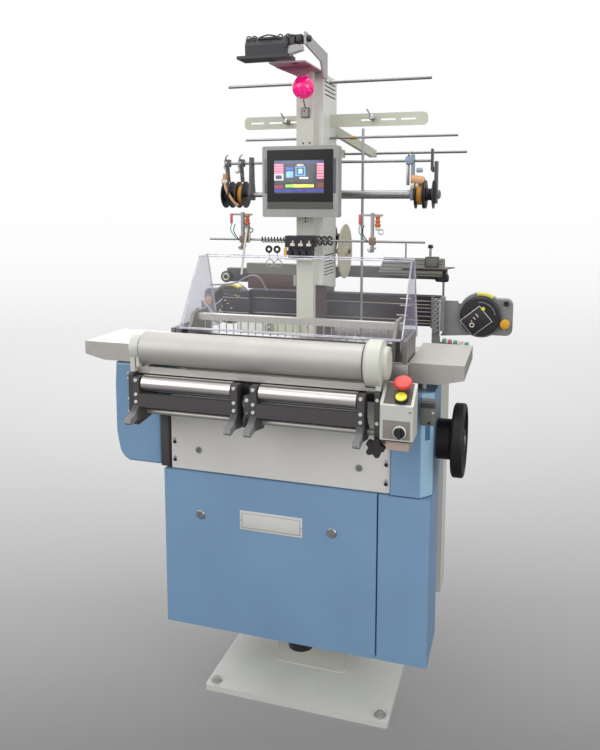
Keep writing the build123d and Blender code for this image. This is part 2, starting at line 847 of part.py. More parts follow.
def lamp_head():
    body = profile_x(-226, -104, [
        (20, 1675), (68, 1675), (72, 1692), (60, 1718), (28, 1722), (18, 1702),
    ])
    flange = block(-248, -100, 12, 76, 1667, 1675)
    lug = block(-104, -84, 34, 54, 1702, 1726) - bar_x(-102.05, -80, lamp_y, lamp_z, 6 + running_gap)
    return body + flange + lug


def signal_lamp():
    dome = Pos(-92, 122, 1601) * Sphere(32)
    neck = bar_z(1628, column_top, -92, 122, 12)
    return dome + neck


pieces = {
    "pedestal": pedestal(),
    "front_cabinet": front_cabinet(),
    "front_panel": front_panel(),
    "side_door": side_door(),
    "left_lock": quarter_turn_lock(left_lock_x),
    "right_lock": quarter_turn_lock(right_lock_x),
    "rear_cabinet": rear_cabinet(),
    "drive_motor": drive_motor(),
    "motor_pulley": motor_pulley(),
    "drive_belt": drive_belt(),
    "machine_bed": machine_bed(),
    "front_plate": front_plate(),
    "left_end_case": left_end_case(),
    "right_gear_cover": right_gear_cover(),
    "left_tray": left_tray(),
    "right_tray": right_tray(),
    "left_side_plate": left_side_plate(),
    "right_side_plate": right_side_plate(),
    "left_roller_bracket": left_roller_bracket(),
    "right_roller_bracket": right_roller_bracket(),
    "guide_bar": guide_bar(),
    "nip_rod": nip_rod(),
    "takedown_roller": takedown_roller(),
    "draw_roller": draw_roller(),
    "left_nip_roll": nip_roll(-344, -108),
    "right_nip_roll": nip_roll(-45, 188),
    "left_nip_frame": nip_frame(-344, -108),
    "right_nip_frame": nip_frame(-45, 188),
    "control_box": control_box(),
    "estop_button": estop_button(),
    "start_button": start_button(),
    "selector_switch": selector_switch(),
    "clamp_knob": clamp_knob(),
    "guard": guard(),
    "needle_bed": needle_bed(),
    "needle_bar": needle_bar(),
    "thread_guide_bar": thread_guide_bar(),
    "main_shaft": main_shaft(),
    "handwheel": handwheel(),
    "column_front": column_front(),
    "column_box": column_box(),
    "column_core": column_core(),
    "rear_rack": rear_rack(),
    "cross_beam": cross_beam(),
    "thread_rods": thread_rods(),
    "slotted_bars": slotted_bars(),
    "bobbin_brackets": bobbin_brackets(),
    "left_bobbins": left_bobbins(),
    "right_bobbins": right_bobbins(),
    "stop_motion": stop_motion(),
    "right_feeder_body": feeder_body(1),
    "left_feeder_body": feeder_body(-1),
    "right_feeder_disc": feeder_disc(1),
    "left_feeder_disc": feeder_disc(-1),
    "feed_disc": feed_disc(),
    "screen_housing": screen_housing(),
    "touch_screen": touch_screen(),
    "lamp_arm": lamp_arm(),
    "lamp_head": lamp_head(),
    "signal_lamp": signal_lamp(),
}

os.makedirs("parts", exist_ok=True)
for name, shape in pieces.items():
    export_step(shape, f"parts/{name}.step")
print(len(pieces), "parts written")
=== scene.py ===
import math

import bmesh
import bpy
from mathutils import Matrix, Vector


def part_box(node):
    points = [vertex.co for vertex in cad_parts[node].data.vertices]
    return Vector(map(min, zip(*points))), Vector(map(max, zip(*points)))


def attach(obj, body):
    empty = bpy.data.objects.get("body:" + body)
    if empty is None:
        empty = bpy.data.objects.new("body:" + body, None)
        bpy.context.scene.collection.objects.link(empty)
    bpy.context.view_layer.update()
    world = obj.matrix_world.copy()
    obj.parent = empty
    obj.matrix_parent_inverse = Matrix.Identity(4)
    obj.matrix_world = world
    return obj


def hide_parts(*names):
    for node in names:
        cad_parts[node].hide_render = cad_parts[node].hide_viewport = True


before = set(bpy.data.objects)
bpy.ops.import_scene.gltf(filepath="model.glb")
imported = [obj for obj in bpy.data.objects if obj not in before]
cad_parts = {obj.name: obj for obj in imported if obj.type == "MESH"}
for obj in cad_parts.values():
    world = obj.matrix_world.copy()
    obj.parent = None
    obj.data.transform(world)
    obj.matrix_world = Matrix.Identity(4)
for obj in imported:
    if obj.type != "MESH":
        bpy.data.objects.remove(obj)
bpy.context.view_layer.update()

scene = bpy.context.scene
mm = 0.001
right, back, up = Vector((1, 0, 0)), Vector((0, 1, 0)), Vector((0, 0, 1))
left, front, down = -right, -back, -up


def srgb(red, green, blue):  # a colour as seen on screen, 0 to 255, made linear
    def linear(value):
        value = value / 255
        return value / 12.92 if value <= 0.04045 else ((value + 0.055) / 1.055) ** 2.4
    return linear(red), linear(green), linear(blue), 1.0


# Shader maths

class Signal:
    def __init__(self, paint, socket):
        self.paint = paint
        self.socket = socket

    def maths(self, operation, first, second=0.0):
        return self.paint.node("ShaderNodeMath", {"operation": operation}, first, second)

    def __add__(self, other):
        return self.maths("ADD", self, other)

    def __radd__(self, other):
        return self.maths("ADD", other, self)

    def __sub__(self, other):
        return self.maths("SUBTRACT", self, other)

    def __rsub__(self, other):
        return self.maths("SUBTRACT", other, self)

    def __mul__(self, other):
        return self.maths("MULTIPLY", self, other)

    def __rmul__(self, other):
        return self.maths("MULTIPLY", other, self)

    def __truediv__(self, other):
        return self.maths("DIVIDE", self, other)

    def __gt__(self, other):
        return self.maths("GREATER_THAN", self, other)

    def __lt__(self, other):
        return self.maths("LESS_THAN", self, other)

    def __rtruediv__(self, other):
        return self.maths("DIVIDE", other, self)

    def atLeast(self, low):
        return self.maths("MAXIMUM", self, low)

    def root(self):
        return self.maths("SQRT", self)

    def between(self, low, high):  # 0 under low, 1 over high, straight in between
        settings = {"clamp": True}
        return self.paint.node("ShaderNodeMapRange", settings, self, low, high, 0.0, 1.0)


class Paint:  # the nodes of one material, or of the world
    def __init__(self, name, owner=None):
        self.owner = owner or bpy.data.materials.new(name)
        self.owner.use_nodes = True
        self.tree = self.owner.node_tree
        self.tree.nodes.clear()
        self.place = self.node("ShaderNodeTexCoord", {}, output="Object")

    def feed(self, socket, value):
        if isinstance(value, Signal):
            self.tree.links.new(value.socket, socket)
        else:
            socket.default_value = value

    def node(self, kind, settings, *values, output=0, **named):
        made = self.tree.nodes.new(kind)
        for key, value in settings.items():
            if key == "stops":
                ramp = made.color_ramp
                while len(ramp.elements) < len(value):
                    ramp.elements.new(0.5)
                for element, (position, colour) in zip(ramp.elements, value):
                    element.position = position
                    element.color = colour
            else:
                setattr(made, key, value)
        for socket, value in zip(made.inputs, values):
            if value is not None:
                self.feed(socket, value)
        for key, value in named.items():
            self.feed(made.inputs[key.replace("_", " ")], value)
        return Signal(self, made.outputs[output]) if made.outputs else None

    def along(self, axis):  # one coordinate in millimetres
        part = self.node("ShaderNodeSeparateXYZ", {}, self.place, output="XYZ".index(axis))
        return part * 1000.0

    def noise(self, scale, detail=3.0, stretch=None, rough=0.5):
        where = self.place
        if stretch:
            where = self.node("ShaderNodeMapping", {}, self.place, Scale=stretch)
        return self.node("ShaderNodeTexNoise", {}, Vector=where, Scale=scale, Detail=detail, Roughness=rough)

    def mixed(self, amount, first, second):
        made = self.tree.nodes.new("ShaderNodeMix")
        made.data_type = "RGBA"
        self.feed(made.inputs[0], amount)
        self.feed(made.inputs[6], first)
        self.feed(made.inputs[7], second)
        return Signal(self, made.outputs[2])

    def bump(self, height, distance, strength=1.0):
        return self.node("ShaderNodeBump", {}, Strength=strength, Distance=distance * mm, Height=height)

    def surface(self, **named):
        shader = self.node("ShaderNodeBsdfPrincipled", {}, **named)
        self.node("ShaderNodeOutputMaterial", {}, shader)
        return self.owner


def shade(colour, factor):
    return tuple(min(1.0, c * factor) for c in srgb(*colour)[:3]) + (1.0,)


def enamel(name, colour, rough=0.34, grime=0.25, mask=None):
    paint = Paint(name)
    cloud = paint.noise(5.0, 4.0)
    speck = paint.noise(140.0, 6.0, rough=0.7)
    peel = paint.noise(650.0, 2.0)
    tone = paint.mixed(cloud.between(0.3, 0.75), shade(colour, 0.93), shade(colour, 1.05))
    dust = speck.between(0.60, 0.74) * cloud.between(0.35, 0.7) * grime
    tone = paint.mixed(dust, tone, shade(colour, 0.55))
    if mask:
        tone = mask(paint, tone)
    gloss = rough + cloud * 0.10 + dust * 0.4
    return paint.surface(Base_Color=tone, Roughness=gloss, Normal=paint.bump(peel, 0.12, 0.35))


def grained(name, colour, rough=0.3, stretch=(20, 20, 1), scale=20.0, metallic=1.0, depth=0.05,
            contrast=0.16, mask=None):
    paint = Paint(name)
    grain = paint.noise(scale, 5.0, stretch=stretch, rough=0.65)
    cloud = paint.noise(9.0, 3.0)
    tone = paint.mixed(grain.between(0.25, 0.75), shade(colour, 1 - contrast), shade(colour, 1 + contrast))
    tone = paint.mixed(cloud.between(0.45, 0.8) * 0.25, tone, shade(colour, 0.7))
    if mask:
        tone = mask(paint, tone)
    gloss = rough + grain * 0.12 + cloud * 0.08
    return paint.surface(
        Base_Color=tone, Roughness=gloss, Metallic=metallic, Normal=paint.bump(grain, depth, 0.5))


def moulded(name, colour, rough=0.42, grain=900.0, coat=0.0, mask=None, shine=0.5):
    paint = Paint(name)
    cloud = paint.noise(12.0, 3.0)
    texture = paint.noise(grain, 3.0)
    tone = paint.mixed(cloud.between(0.3, 0.7), shade(colour, 0.90), shade(colour, 1.08))
    if mask:
        tone = mask(paint, tone)
    return paint.surface(
        Base_Color=tone, Roughness=rough + texture * 0.08, Coat_Weight=coat, Specular_IOR_Level=shine,
        Normal=paint.bump(texture, 0.08, 0.3))


def clearSheet():  # painted reflection: the side walls are seen on the slant, so they are drawn more opaque and lilac
    paint = Paint("clearAcrylic")
    scratch = paint.noise(35.0, 6.0, stretch=(1, 9, 9), rough=0.7)
    haze = paint.noise(7.0, 3.0)
    walls = (paint.along("X") < -305.5) + (paint.along("X") > 256.5)
    return paint.surface(
        Base_Color=paint.mixed(walls, srgb(236, 236, 244), srgb(196, 190, 214)), IOR=1.45,
        Roughness=0.04 + scratch.between(0.6, 0.8) * 0.2,
        Alpha=0.02 + haze.between(0.3, 0.8) * 0.04 + walls * 0.30)


def clearRim():
    paint = Paint("sheetEdge")
    tone = paint.mixed(paint.noise(30.0, 4.0).between(0.35, 0.65), srgb(250, 250, 255), srgb(196, 192, 216))
    return paint.surface(Base_Color=tone, Roughness=0.12, Alpha=0.72, Coat_Weight=0.5)


def glowing(name, colour, strength, facets=0.0):
    paint = Paint(name)
    tone = paint.mixed(paint.noise(60.0, 2.0).between(0.35, 0.65), shade(colour, 0.8), shade(colour, 1.15))
    # painted highlight and shade on the lens facets: darker magenta cells, and pale spots where the facets
    # catch the light
    if facets:
        cells = paint.node("ShaderNodeTexVoronoi", {"feature": "F1"}, Vector=paint.place, Scale=facets)
        tone = paint.mixed(cells.between(0.25, 0.50), srgb(206, 0, 100), tone)
        tone = paint.mixed(cells.between(0.84, 0.95), tone, srgb(255, 168, 224))
    return paint.surface(
        Base_Color=tone, Roughness=0.18, Emission_Color=tone, Emission_Strength=strength, Coat_Weight=0.6)


# Masks that colour one region of a node

def within(paint, axis, low, high):  # 1 between two places along an axis, in millimetres
    return (paint.along(axis) > low) * (paint.along(axis) < high)


def reachFrom(paint, **spot):  # distance from a spot, in millimetres
    total = 0.0
    for axis, place in spot.items():
        step = paint.along(axis) - place
        total = step * step + total
    return total.root()


def selectorMask(paint, tone):  # chrome bezel round a black grip
    return paint.mixed(reachFrom(paint, X=284.0, Z=800.0) > 12.2, tone, srgb(205, 205, 200))


def boxMask(paint, tone):  # brushed fields on the slope and under the selector
    across = within(paint, "X", 247.0, 306.0)
    low = within(paint, "Z", 783.0, 824.0) * (paint.along("Y") < -399.0)
    slope = within(paint, "Z", 858.5, 892.0) * (paint.along("Y") > -398.0)
    tone = paint.mixed(across * (low + slope), srgb(207, 207, 200), tone)
    tone = paint.mixed(across * slope, tone, srgb(102, 96, 90))
    return paint.mixed(paint.along("Z") < 780.0, tone, srgb(186, 166, 156))


def bezelMask(paint, tone):  # plain grey strip under the glass
    return paint.mixed(paint.along("Z") < 1281.0, tone, srgb(96, 95, 92))


def rackMask(paint, tone):  # the bar left of the post is a lighter grey
    return paint.mixed(paint.along("X") < -112.0, tone, srgb(122, 124, 110))


def standMask(paint, tone):  # the two yarn stands are bare metal, the sensor box is black
    beside = (paint.along("X") < -170.0) + (paint.along("X") > -60.0)
    return paint.mixed(beside, tone, srgb(168, 170, 168))


def bracketMask(paint, tone):  # the right bobbin bracket is blue-grey
    return paint.mixed(paint.along("X") > 0.0, tone, srgb(150, 160, 176))


def chamferMask(paint, tone):  # the slanted corner of the cover faces the light
    # painted highlight on the slanted corner, and painted shade in the recess on it
    corner = (paint.along("X") > 311.5) * (paint.along("Y") < -236.0)
    recess = corner * within(paint, "Z", 738.0, 782.0) * within(paint, "X", 319.0, 329.0)
    tone = paint.mixed(corner * 0.75, tone, srgb(176, 216, 238))
    return paint.mixed(recess, tone, srgb(84, 120, 156))


def glandMask(paint, tone):  # black cable gland in the floor of the front cabinet
    gland = (reachFrom(paint, X=3.0, Y=-200.0) < 36.0) * (paint.along("Z") < 163.0)
    return paint.mixed(gland, tone, srgb(52, 48, 52))


def postMask(paint, tone):  # the post stands in the shade of the cabinets
    return paint.mixed(paint.along("Z") > 17.0, tone, srgb(188, 188, 178))


def hookMask(paint, tone):  # the hooks are worn to bare metal
    hook = (1.0 - paint.along("Z").between(780.0, 794.0)) * (1.0 - paint.along("Y").between(-404.0, -392.0))
    return paint.mixed(hook, tone, srgb(132, 130, 130))


def lampMask(paint, tone):  # the underside of the bracket is lit pink by the lamp
    near = 1.0 - reachFrom(paint, X=-92.0, Y=122.0, Z=1601.0).between(50.0, 130.0)
    return paint.mixed(near * (paint.along("Z") < 1661.0) * 0.85, tone, srgb(190, 60, 110))


print("materials")
look = {
    "cream": enamel("creamEnamel", (207, 209, 192), 0.36),
    # painted highlight: the column front and the column box use lighter copies of the cream enamel, standing
    # in for the light that falls on them
    "column": enamel("columnEnamel", (216, 216, 205), 0.36),
    "columnBox": enamel("boxEnamel", (230, 231, 226), 0.36),
    "baseCream": enamel("baseEnamel", (224, 224, 219), 0.4, 0.3),
    "post": enamel("pedestalEnamel", (226, 226, 220), 0.4, 0.3, mask=postMask),
    "panelWhite": enamel("whiteEnamel", (222, 220, 216), 0.34, 0.2),
    "white": enamel("plateWhite", (222, 222, 218), 0.3, 0.1),
    "capWhite": enamel("rollerCapEnamel", (212, 213, 202), 0.32, 0.12),
    "blue": enamel("blueEnamel", (128, 163, 198), 0.34, 0.12),
    "frontBlue": enamel("cabinetEnamel", (128, 163, 198), 0.34, 0.12, mask=glandMask),
    "coverBlue": enamel("coverEnamel", (128, 163, 198), 0.34, 0.12, mask=chamferMask),
    "brown": enamel("brownEnamel", (88, 68, 66), 0.42, 0.3),
    "rackBrown": enamel("rackBrown", (88, 56, 46), 0.45, 0.3),
    "rackTop": enamel("rackTop", (94, 92, 84), 0.42, 0.4),
    "rack": enamel("rackEnamel", (112, 108, 100), 0.42, 0.3, mask=rackMask),
    "castGrey": enamel("castGrey", (120, 120, 116), 0.5, 0.4),
    "armGrey": enamel("armGrey", (176, 176, 176), 0.40, 0.2, mask=lampMask),
    "gusset": enamel("gussetGrey", (150, 84, 110), 0.4, 0.5),
    "hood": enamel("lampHood", (48, 46, 50), 0.44, 0.2),
    "blackened": enamel("blackenedSteel", (70, 67, 68), 0.44, 0.3),
    "press": enamel("pressSteel", (72, 69, 70), 0.44, 0.3, mask=hookMask),
    "bracket": enamel("bobbinBracket", (92, 92, 96), 0.44, 0.3, mask=bracketMask),
    "stainless": grained("brushedStainless", (196, 193, 188), 0.33, (2, 60, 60), 16.0, 0.85),
    "rodSteel": grained("drawnRod", (150, 150, 152), 0.28, (1, 40, 40), 30.0),
    "satinRoll": grained("turnedRoll", (188, 185, 180), 0.48, (140, 1, 1), 12.0, 0.6, contrast=0.07),
    "chrome": grained(
        "polishedChrome", (196, 192, 190), 0.20, (1, 30, 30), 20.0, contrast=0.05, depth=0.01),
    "steel": grained("groundSteel", (168, 168, 170), 0.26),
    "zinc": grained("zincBolt", (176, 176, 172), 0.45, metallic=0.5, contrast=0.1),
    "bolt": grained("brightBolt", (232, 232, 232), metallic=0.35, contrast=0.06),
    "tube": grained("guideTubes", (196, 194, 188)),
    "sleeveBrass": grained("brassSleeve", (176, 140, 84)),
    "blackAnodised": grained("blackAnodised", (52, 46, 52), 0.36, (1, 50, 50), 20.0, 0.6, contrast=0.08),
    "bedMetal": grained("bedMetal", (134, 132, 127), 0.45, (1, 30, 30), 18.0, 0.5, contrast=0.07),
    "boxGrey": grained(
        "boxAluminium", (150, 142, 136), 0.46, (1, 50, 50), 18.0, 0.35, contrast=0.07, mask=boxMask),
    "wheelBlack": moulded("wheelLacquer", (30, 24, 26), 0.42, 300.0, shine=0.3),
    "rubber": moulded("blackRubber", (30, 29, 30), 0.62, 500.0),
    "paleHose": moulded("paleHose", (150, 146, 158), 0.4, 400.0),
    "black": moulded("blackPlastic", (40, 36, 42), 0.40, 700.0),
    "stand": moulded("standParts", (40, 36, 42), 0.42, 700.0, mask=standMask),
    "selector": moulded("selectorPlastic", (26, 26, 30), 0.30, 700.0, 0.3, mask=selectorMask),
    "dark": moulded("darkHole", (22, 20, 22), 0.6, 800.0),
    "panelGrey": moulded("panelPlastic", (166, 166, 163), 0.46, 900.0),
    "feederGrey": moulded("feederPlastic", (138, 140, 140), 0.44, 700.0),
    "screen": moulded("screenGloss", (30, 28, 32), 0.22, 900.0, mask=bezelMask, shine=0.25),
    "stopRed": moulded("stopRed", (226, 70, 60), 0.34, 800.0, 0.1),
    "startYellow": moulded("startCap", (240, 232, 46), 0.32, 800.0, 0.2),
    "capYellow": moulded("capYellow", (238, 224, 88), 0.34, 800.0, 0.2),
    "capAmber": moulded("capAmber", (232, 172, 40), 0.34, 800.0, 0.2),
    "disc": moulded("creamDisc", (208, 204, 180), 0.4, 800.0),
    "yarn": moulded("amberYarn", (226, 160, 70), 0.75, 300.0),
    "copperCone": moulded("copperCone", (222, 170, 130), 0.5, 500.0),
    "clampBlue": moulded("clampBlue", (150, 166, 190), 0.35, 500.0),
    "ceramic": moulded("ceramic", (232, 224, 210), 0.22, 900.0, 0.4),
    "orange": moulded("orangeCeramic", (206, 104, 58), 0.3, 800.0, 0.2),
    "wireRed": moulded("redSleeve", (214, 92, 120), 0.4, 800.0),
    "wireGreen": moulded("greenSleeve", (80, 170, 140), 0.4, 800.0),
    "slotStrip": moulded("slotStrip", (176, 170, 156), 0.4, 400.0),
    "lens": glowing("pinkLens", (240, 8, 126), 0.36, 70.0),
    "clear": clearSheet(),
    "rim": clearRim(),
}

nodeLook = {
    "cream": "machine_bed slotted_bars",
    "column": "column_front",
    "columnBox": "column_box",
    "frontBlue": "front_cabinet",
    "post": "pedestal",
    "press": "left_nip_frame right_nip_frame",
    "baseCream": "rear_cabinet",
    "panelWhite": "front_plate",
    "blue": "front_panel side_door left_end_case",
    "capWhite": "left_roller_bracket right_roller_bracket",
    "brown": "column_core",
    "rack": "rear_rack",
    "stainless": "left_tray right_tray guide_bar nip_rod",
    "rodSteel": "thread_rods",
    "satinRoll": "takedown_roller",
    "chrome": "left_nip_roll right_nip_roll",
    "blackened": "left_side_plate right_side_plate",
    "wheelBlack": "handwheel",
    "blackAnodised": "cross_beam",
    "steel": "main_shaft motor_pulley needle_bar left_lock right_lock",
    "castGrey": "drive_motor",
    "bedMetal": "needle_bed",
    "coverBlue": "right_gear_cover",
    "bracket": "bobbin_brackets",
    "stand": "stop_motion",
    "hood": "lamp_head",
    "boxGrey": "control_box",
    "armGrey": "lamp_arm",
    "rubber": "draw_roller drive_belt",
    "black": "clamp_knob right_feeder_disc left_feeder_disc left_bobbins right_bobbins",
    "selector": "selector_switch",
    "panelGrey": "screen_housing",
    "feederGrey": "right_feeder_body left_feeder_body",
    "screen": "touch_screen",
    "stopRed": "estop_button",
    "startYellow": "start_button",
    "lens": "signal_lamp",
    "clear": "guard",
    "tube": "thread_guide_bar",
    "disc": "feed_disc",
}
for key, names in nodeLook.items():
    for name in names.split():
        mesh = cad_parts[name].data
        mesh.materials.clear()
        mesh.materials.append(look[key])


# Mesh tools, all in millimetres

tip = 0.01  # radius kept where an outline meets its axis


def facing(spot, direction, spin=0.0):
    turned = Vector(direction).to_track_quat("Z", "Y").to_matrix().to_4x4()
    return Matrix.Translation(Vector(spot)) @ turned @ Matrix.Rotation(spin, 4, "Z")


def angles(steps):
    return [2 * math.pi * step / steps for step in range(steps)]


def polar(radius, angle):
    return radius * math.cos(angle), radius * math.sin(angle)


def upright(x, y, z):  # turns an outline's second number into height
    return Matrix.Translation((x, y, z)) @ Matrix.Rotation(math.radians(90), 4, "X")


def corners(node):
    low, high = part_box(node)
    return low * 1000, high * 1000


class Shape:  # gathers the solids of one piece
    def __init__(self, finish):
        self.mesh = bmesh.new()
        self.finishes = [finish]
        self.index = 0

    def add(self, parts):  # rows of a finish, a kind of solid and its measures
        for finish, kind, *measures in parts.values():
            getattr(self.use(finish), kind)(*measures)
        return self

    def use(self, finish):
        if finish not in self.finishes:
            self.finishes.append(finish)
        self.index = self.finishes.index(finish)
        return self

    def loft(self, rings, closedLoop=False):
        rows = [[self.mesh.verts.new(spot) for spot in ring] for ring in rings]
        pairs = list(zip(rows, rows[1:]))
        if closedLoop:
            pairs.append((rows[-1], rows[0]))
        for near, far in pairs:
            for i in range(len(near)):
                j = (i + 1) % len(near)
                self.face([near[i], near[j], far[j], far[i]])
        if not closedLoop:
            self.face(rows[0][::-1])
            self.face(rows[-1])
        return self

    def face(self, verts):
        made = self.mesh.faces.new(verts)
        made.material_index = self.index
        made.smooth = True

    def box(self, low, high, rim=0.0, place=None):
        low, high = Vector(low), Vector(high)
        matrix = Matrix.Translation((low + high) / 2) @ Matrix.Diagonal((*(high - low), 1.0))
        if place:
            matrix = place @ matrix
        verts = bmesh.ops.create_cube(self.mesh, size=1.0, matrix=matrix)["verts"]
        faces = {f for v in verts for f in v.link_faces}
        for made in faces:
            made.material_index = self.index
            made.smooth = True
        if rim:
            edges = list(dict.fromkeys(e for v in verts for e in v.link_edges))  # same order each run
            bmesh.ops.bevel(self.mesh, geom=edges, offset=rim, segments=2, profile=0.5, affect="EDGES")
        return self

    def turn(self, outline, place, steps=24):  # outline is (radius, height) pairs
        return self.loft([
            [place @ Vector((*polar(max(radius, tip), angle), height)) for angle in angles(steps)]
            for radius, height in outline])

    def knob(self, outline, spot, direction, steps=24):
        return self.turn(outline, facing(spot, direction), steps)

    def prism(self, outline, place, depth):
        lower = [place @ Vector((x, y, 0)) for x, y in outline]
        upper = [place @ Vector((x, y, depth)) for x, y in outline]
        return self.loft([lower, upper])

    def pipe(self, spots, radius, steps=8, smooth=6):
        path = [Vector(spot) for spot in spots]
        if smooth:
            path = smoothPath(path, smooth)
        rings = []
        side = None
        for i, spot in enumerate(path):
            before = path[i - 1] if i else spot
            after = path[i + 1] if i + 1 < len(path) else spot
            tangent = (after - before).normalized()
            if side is None:
                side = tangent.orthogonal().normalized()
            side = (side - tangent * side.dot(tangent)).normalized()
            other = tangent.cross(side)
            ring = [(side * math.cos(angle) + other * math.sin(angle)) * radius for angle in angles(steps)]
            rings.append([spot + reach for reach in ring])
        return self.loft(rings)

    def eye(self, radius, thickness, spot, direction, steps=20, around=8):
        place = facing(spot, direction)
        rings = []
        for angle in angles(steps):
            ring = []
            for bend in angles(around):
                reach = radius + thickness * math.cos(bend)
                ring.append(place @ Vector((*polar(reach, angle), thickness * math.sin(bend))))
            rings.append(ring)
        return self.loft(rings, closedLoop=True)

    def spring(self, start, end, radius, wire, turns):
        start, end = Vector(start), Vector(end)
        place = facing(start, end - start)
        length = (end - start).length
        steps = turns * 10
        spots = []
        for step in range(steps + 1):
            angle = 2 * math.pi * turns * step / steps
            spots.append(place @ Vector((*polar(radius, angle), length * step / steps)))
        return self.pipe(spots, wire, 6, 0)

    def socketScrew(self, spot, direction, radius, height):
        outline = [(radius, 0), (radius, height * 0.7), (radius * 0.85, height), (radius * 0.5, height),
                   (radius * 0.5, height * 0.45), (0, height * 0.45)]
        return self.knob(outline, spot, direction, 16)

    def hexBolt(self, spot, direction, size, height, washer):
        thick, rise, stud = 3.0, height + 3, size * 0.45
        place = facing(spot, direction)
        head = place @ Matrix.Translation((0, 0, thick))
        self.turn([(washer, 0), (washer, 2.2), (washer - 0.8, thick), (0, thick)], place, 28)
        self.prism([polar(size, math.pi / 3 * k) for k in range(6)], head, height)
        return self.turn([(stud, 0), (stud, rise - 1), (size * 0.38, rise), (0, rise)], head, 16)

    def finish(self, name, body, slot=None, sharp=38):
        bmesh.ops.recalc_face_normals(self.mesh, faces=self.mesh.faces)
        mesh = bpy.data.meshes.new(name)
        self.mesh.to_mesh(mesh)
        self.mesh.free()
        mesh.transform(Matrix.Scale(mm, 4))
        mesh.set_sharp_from_angle(angle=math.radians(sharp))
        for key in self.finishes:
            mesh.materials.append(look[key])
        piece = bpy.data.objects.new(name, mesh)
        scene.collection.objects.link(piece)
        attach(piece, body)
        return piece


def smoothPath(spots, steps):  # a smooth line through the given spots
    path = []
    ends = [spots[0], *spots, spots[-1]]
    for a, b, c, d in zip(ends, ends[1:], ends[2:], ends[3:]):
        for k in range(steps):
            t = k / steps
            path.append(0.5 * ((2 * b) + (c - a) * t + (2 * a - 5 * b + 4 * c - d) * t * t
                               + (3 * b - a - 3 * c + d) * t * t * t))
    path.append(spots[-1])
    return path


# Camera and light

print("camera and light")
view = {"spot": (0.528, -1.877, 1.290), "pitch": 7.18, "yaw": 17.48, "lens": 34.75, "sensor": 36.0,
        "shift": -0.1133, "farthest": 60.0}
aim = Vector((0, 0, 0.9))
lights = {
    "keyLight": {"spot": (-2.6, -3.6, 3.0), "size": 3.4, "watts": 84.0},
    "fillLight": {"spot": (3.8, -2.2, 2.2), "size": 2.8, "watts": 56.0},
    "topLight": {"spot": (-0.2, 0.3, 4.4), "size": 3.0, "watts": 74.0},
    "backLight": {"spot": (-1.8, 3.6, 2.8), "size": 2.4, "watts": 34.0},
}
ground = {  # greys run over height divided by depth
    "half": 60.0, "nearest": 700.0, "squeeze": 0.54, "glowFrom": 0.08, "glowTo": 0.36, "glowLoss": 0.45,
    "greys": [(0.0, 255), (0.140, 250), (0.283, 230), (0.432, 204), (0.587, 176), (0.745, 154), (0.811, 144),
              (0.86, 142), (1.8, 255)],
}


def addCamera():
    data = bpy.data.cameras.new("loomCamera")
    data.lens = view["lens"]
    data.sensor_width = view["sensor"]
    data.shift_y = view["shift"]
    data.clip_end = view["farthest"]
    camera = bpy.data.objects.new("loomCamera", data)
    camera.location = view["spot"]
    camera.rotation_euler = (math.radians(90 - view["pitch"]), 0, math.radians(view["yaw"]))
    scene.collection.objects.link(camera)
    scene.camera = camera


def addLights():
    for name, facts in lights.items():
        data = bpy.data.lights.new(name, "AREA")
        data.size = facts["size"]
        data.energy = facts["watts"]
        lamp = bpy.data.objects.new(name, data)
        lamp.location = facts["spot"]
        lamp.rotation_euler = (aim - Vector(facts["spot"])).to_track_quat("-Z", "Y").to_euler()
        scene.collection.objects.link(lamp)


def addWorld():  # soft sky light, plain white where it is seen
    scene.world = bpy.data.worlds.new("studio")
    paint = Paint("studio", scene.world)
    camera, glossy, through = [
        paint.node("ShaderNodeLightPath", {}, output="Is " + ray + " Ray")
        for ray in ("Camera", "Glossy", "Transmission")]
    sky = paint.node("ShaderNodeBackground", {}, (1, 1, 1, 1), 0.55)
    seen = paint.node("ShaderNodeBackground", {}, (1, 1, 1, 1), 1.0)
    mix = paint.node("ShaderNodeMixShader", {}, camera.atLeast(glossy).atLeast(through), sky, seen)
    paint.node("ShaderNodeOutputWorld", {}, mix)


def addFloor():  # pale floor, grey near the camera and white behind the machine
    paint = Paint("paleFloor")
    yaw = math.radians(view["yaw"])
    x0, y0, height = [c * 1000 for c in view["spot"]]
    depth = (paint.along("Y") - y0) * math.cos(yaw) - (paint.along("X") - x0) * math.sin(yaw)
    slope = height / depth.atLeast(ground["nearest"])
    stops = [(place * ground["squeeze"], srgb(grey, grey, grey)) for place, grey in ground["greys"]]
    tone = paint.node("ShaderNodeValToRGB", {"stops": stops}, slope * ground["squeeze"])
    camera = paint.node("ShaderNodeLightPath", {}, output="Is Camera Ray")
    lit = paint.node("ShaderNodeBsdfDiffuse", {}, tone)
    glow = paint.node("ShaderNodeEmission", {}, paint.mixed(camera, (0, 0, 0, 1), tone), 1.0)
    amount = 1.0 - slope.between(ground["glowFrom"], ground["glowTo"]) * ground["glowLoss"]
    paint.node("ShaderNodeOutputMaterial", {}, paint.node("ShaderNodeMixShader", {}, amount, lit, glow))
    mesh = bpy.data.meshes.new("studioFloor")
    half = ground["half"]
    outline = [(-half, -half, 0), (half, -half, 0), (half, half, 0), (-half, half, 0)]
    mesh.from_pydata(outline, [], [(0, 1, 2, 3)])
    mesh.materials.append(paint.owner)
    floor = bpy.data.objects.new("studioFloor", mesh)
    scene.collection.objects.link(floor)


addCamera()
addLights()
addWorld()
addFloor()
scene.view_settings.view_transform = "Standard"


# Base and cabinets

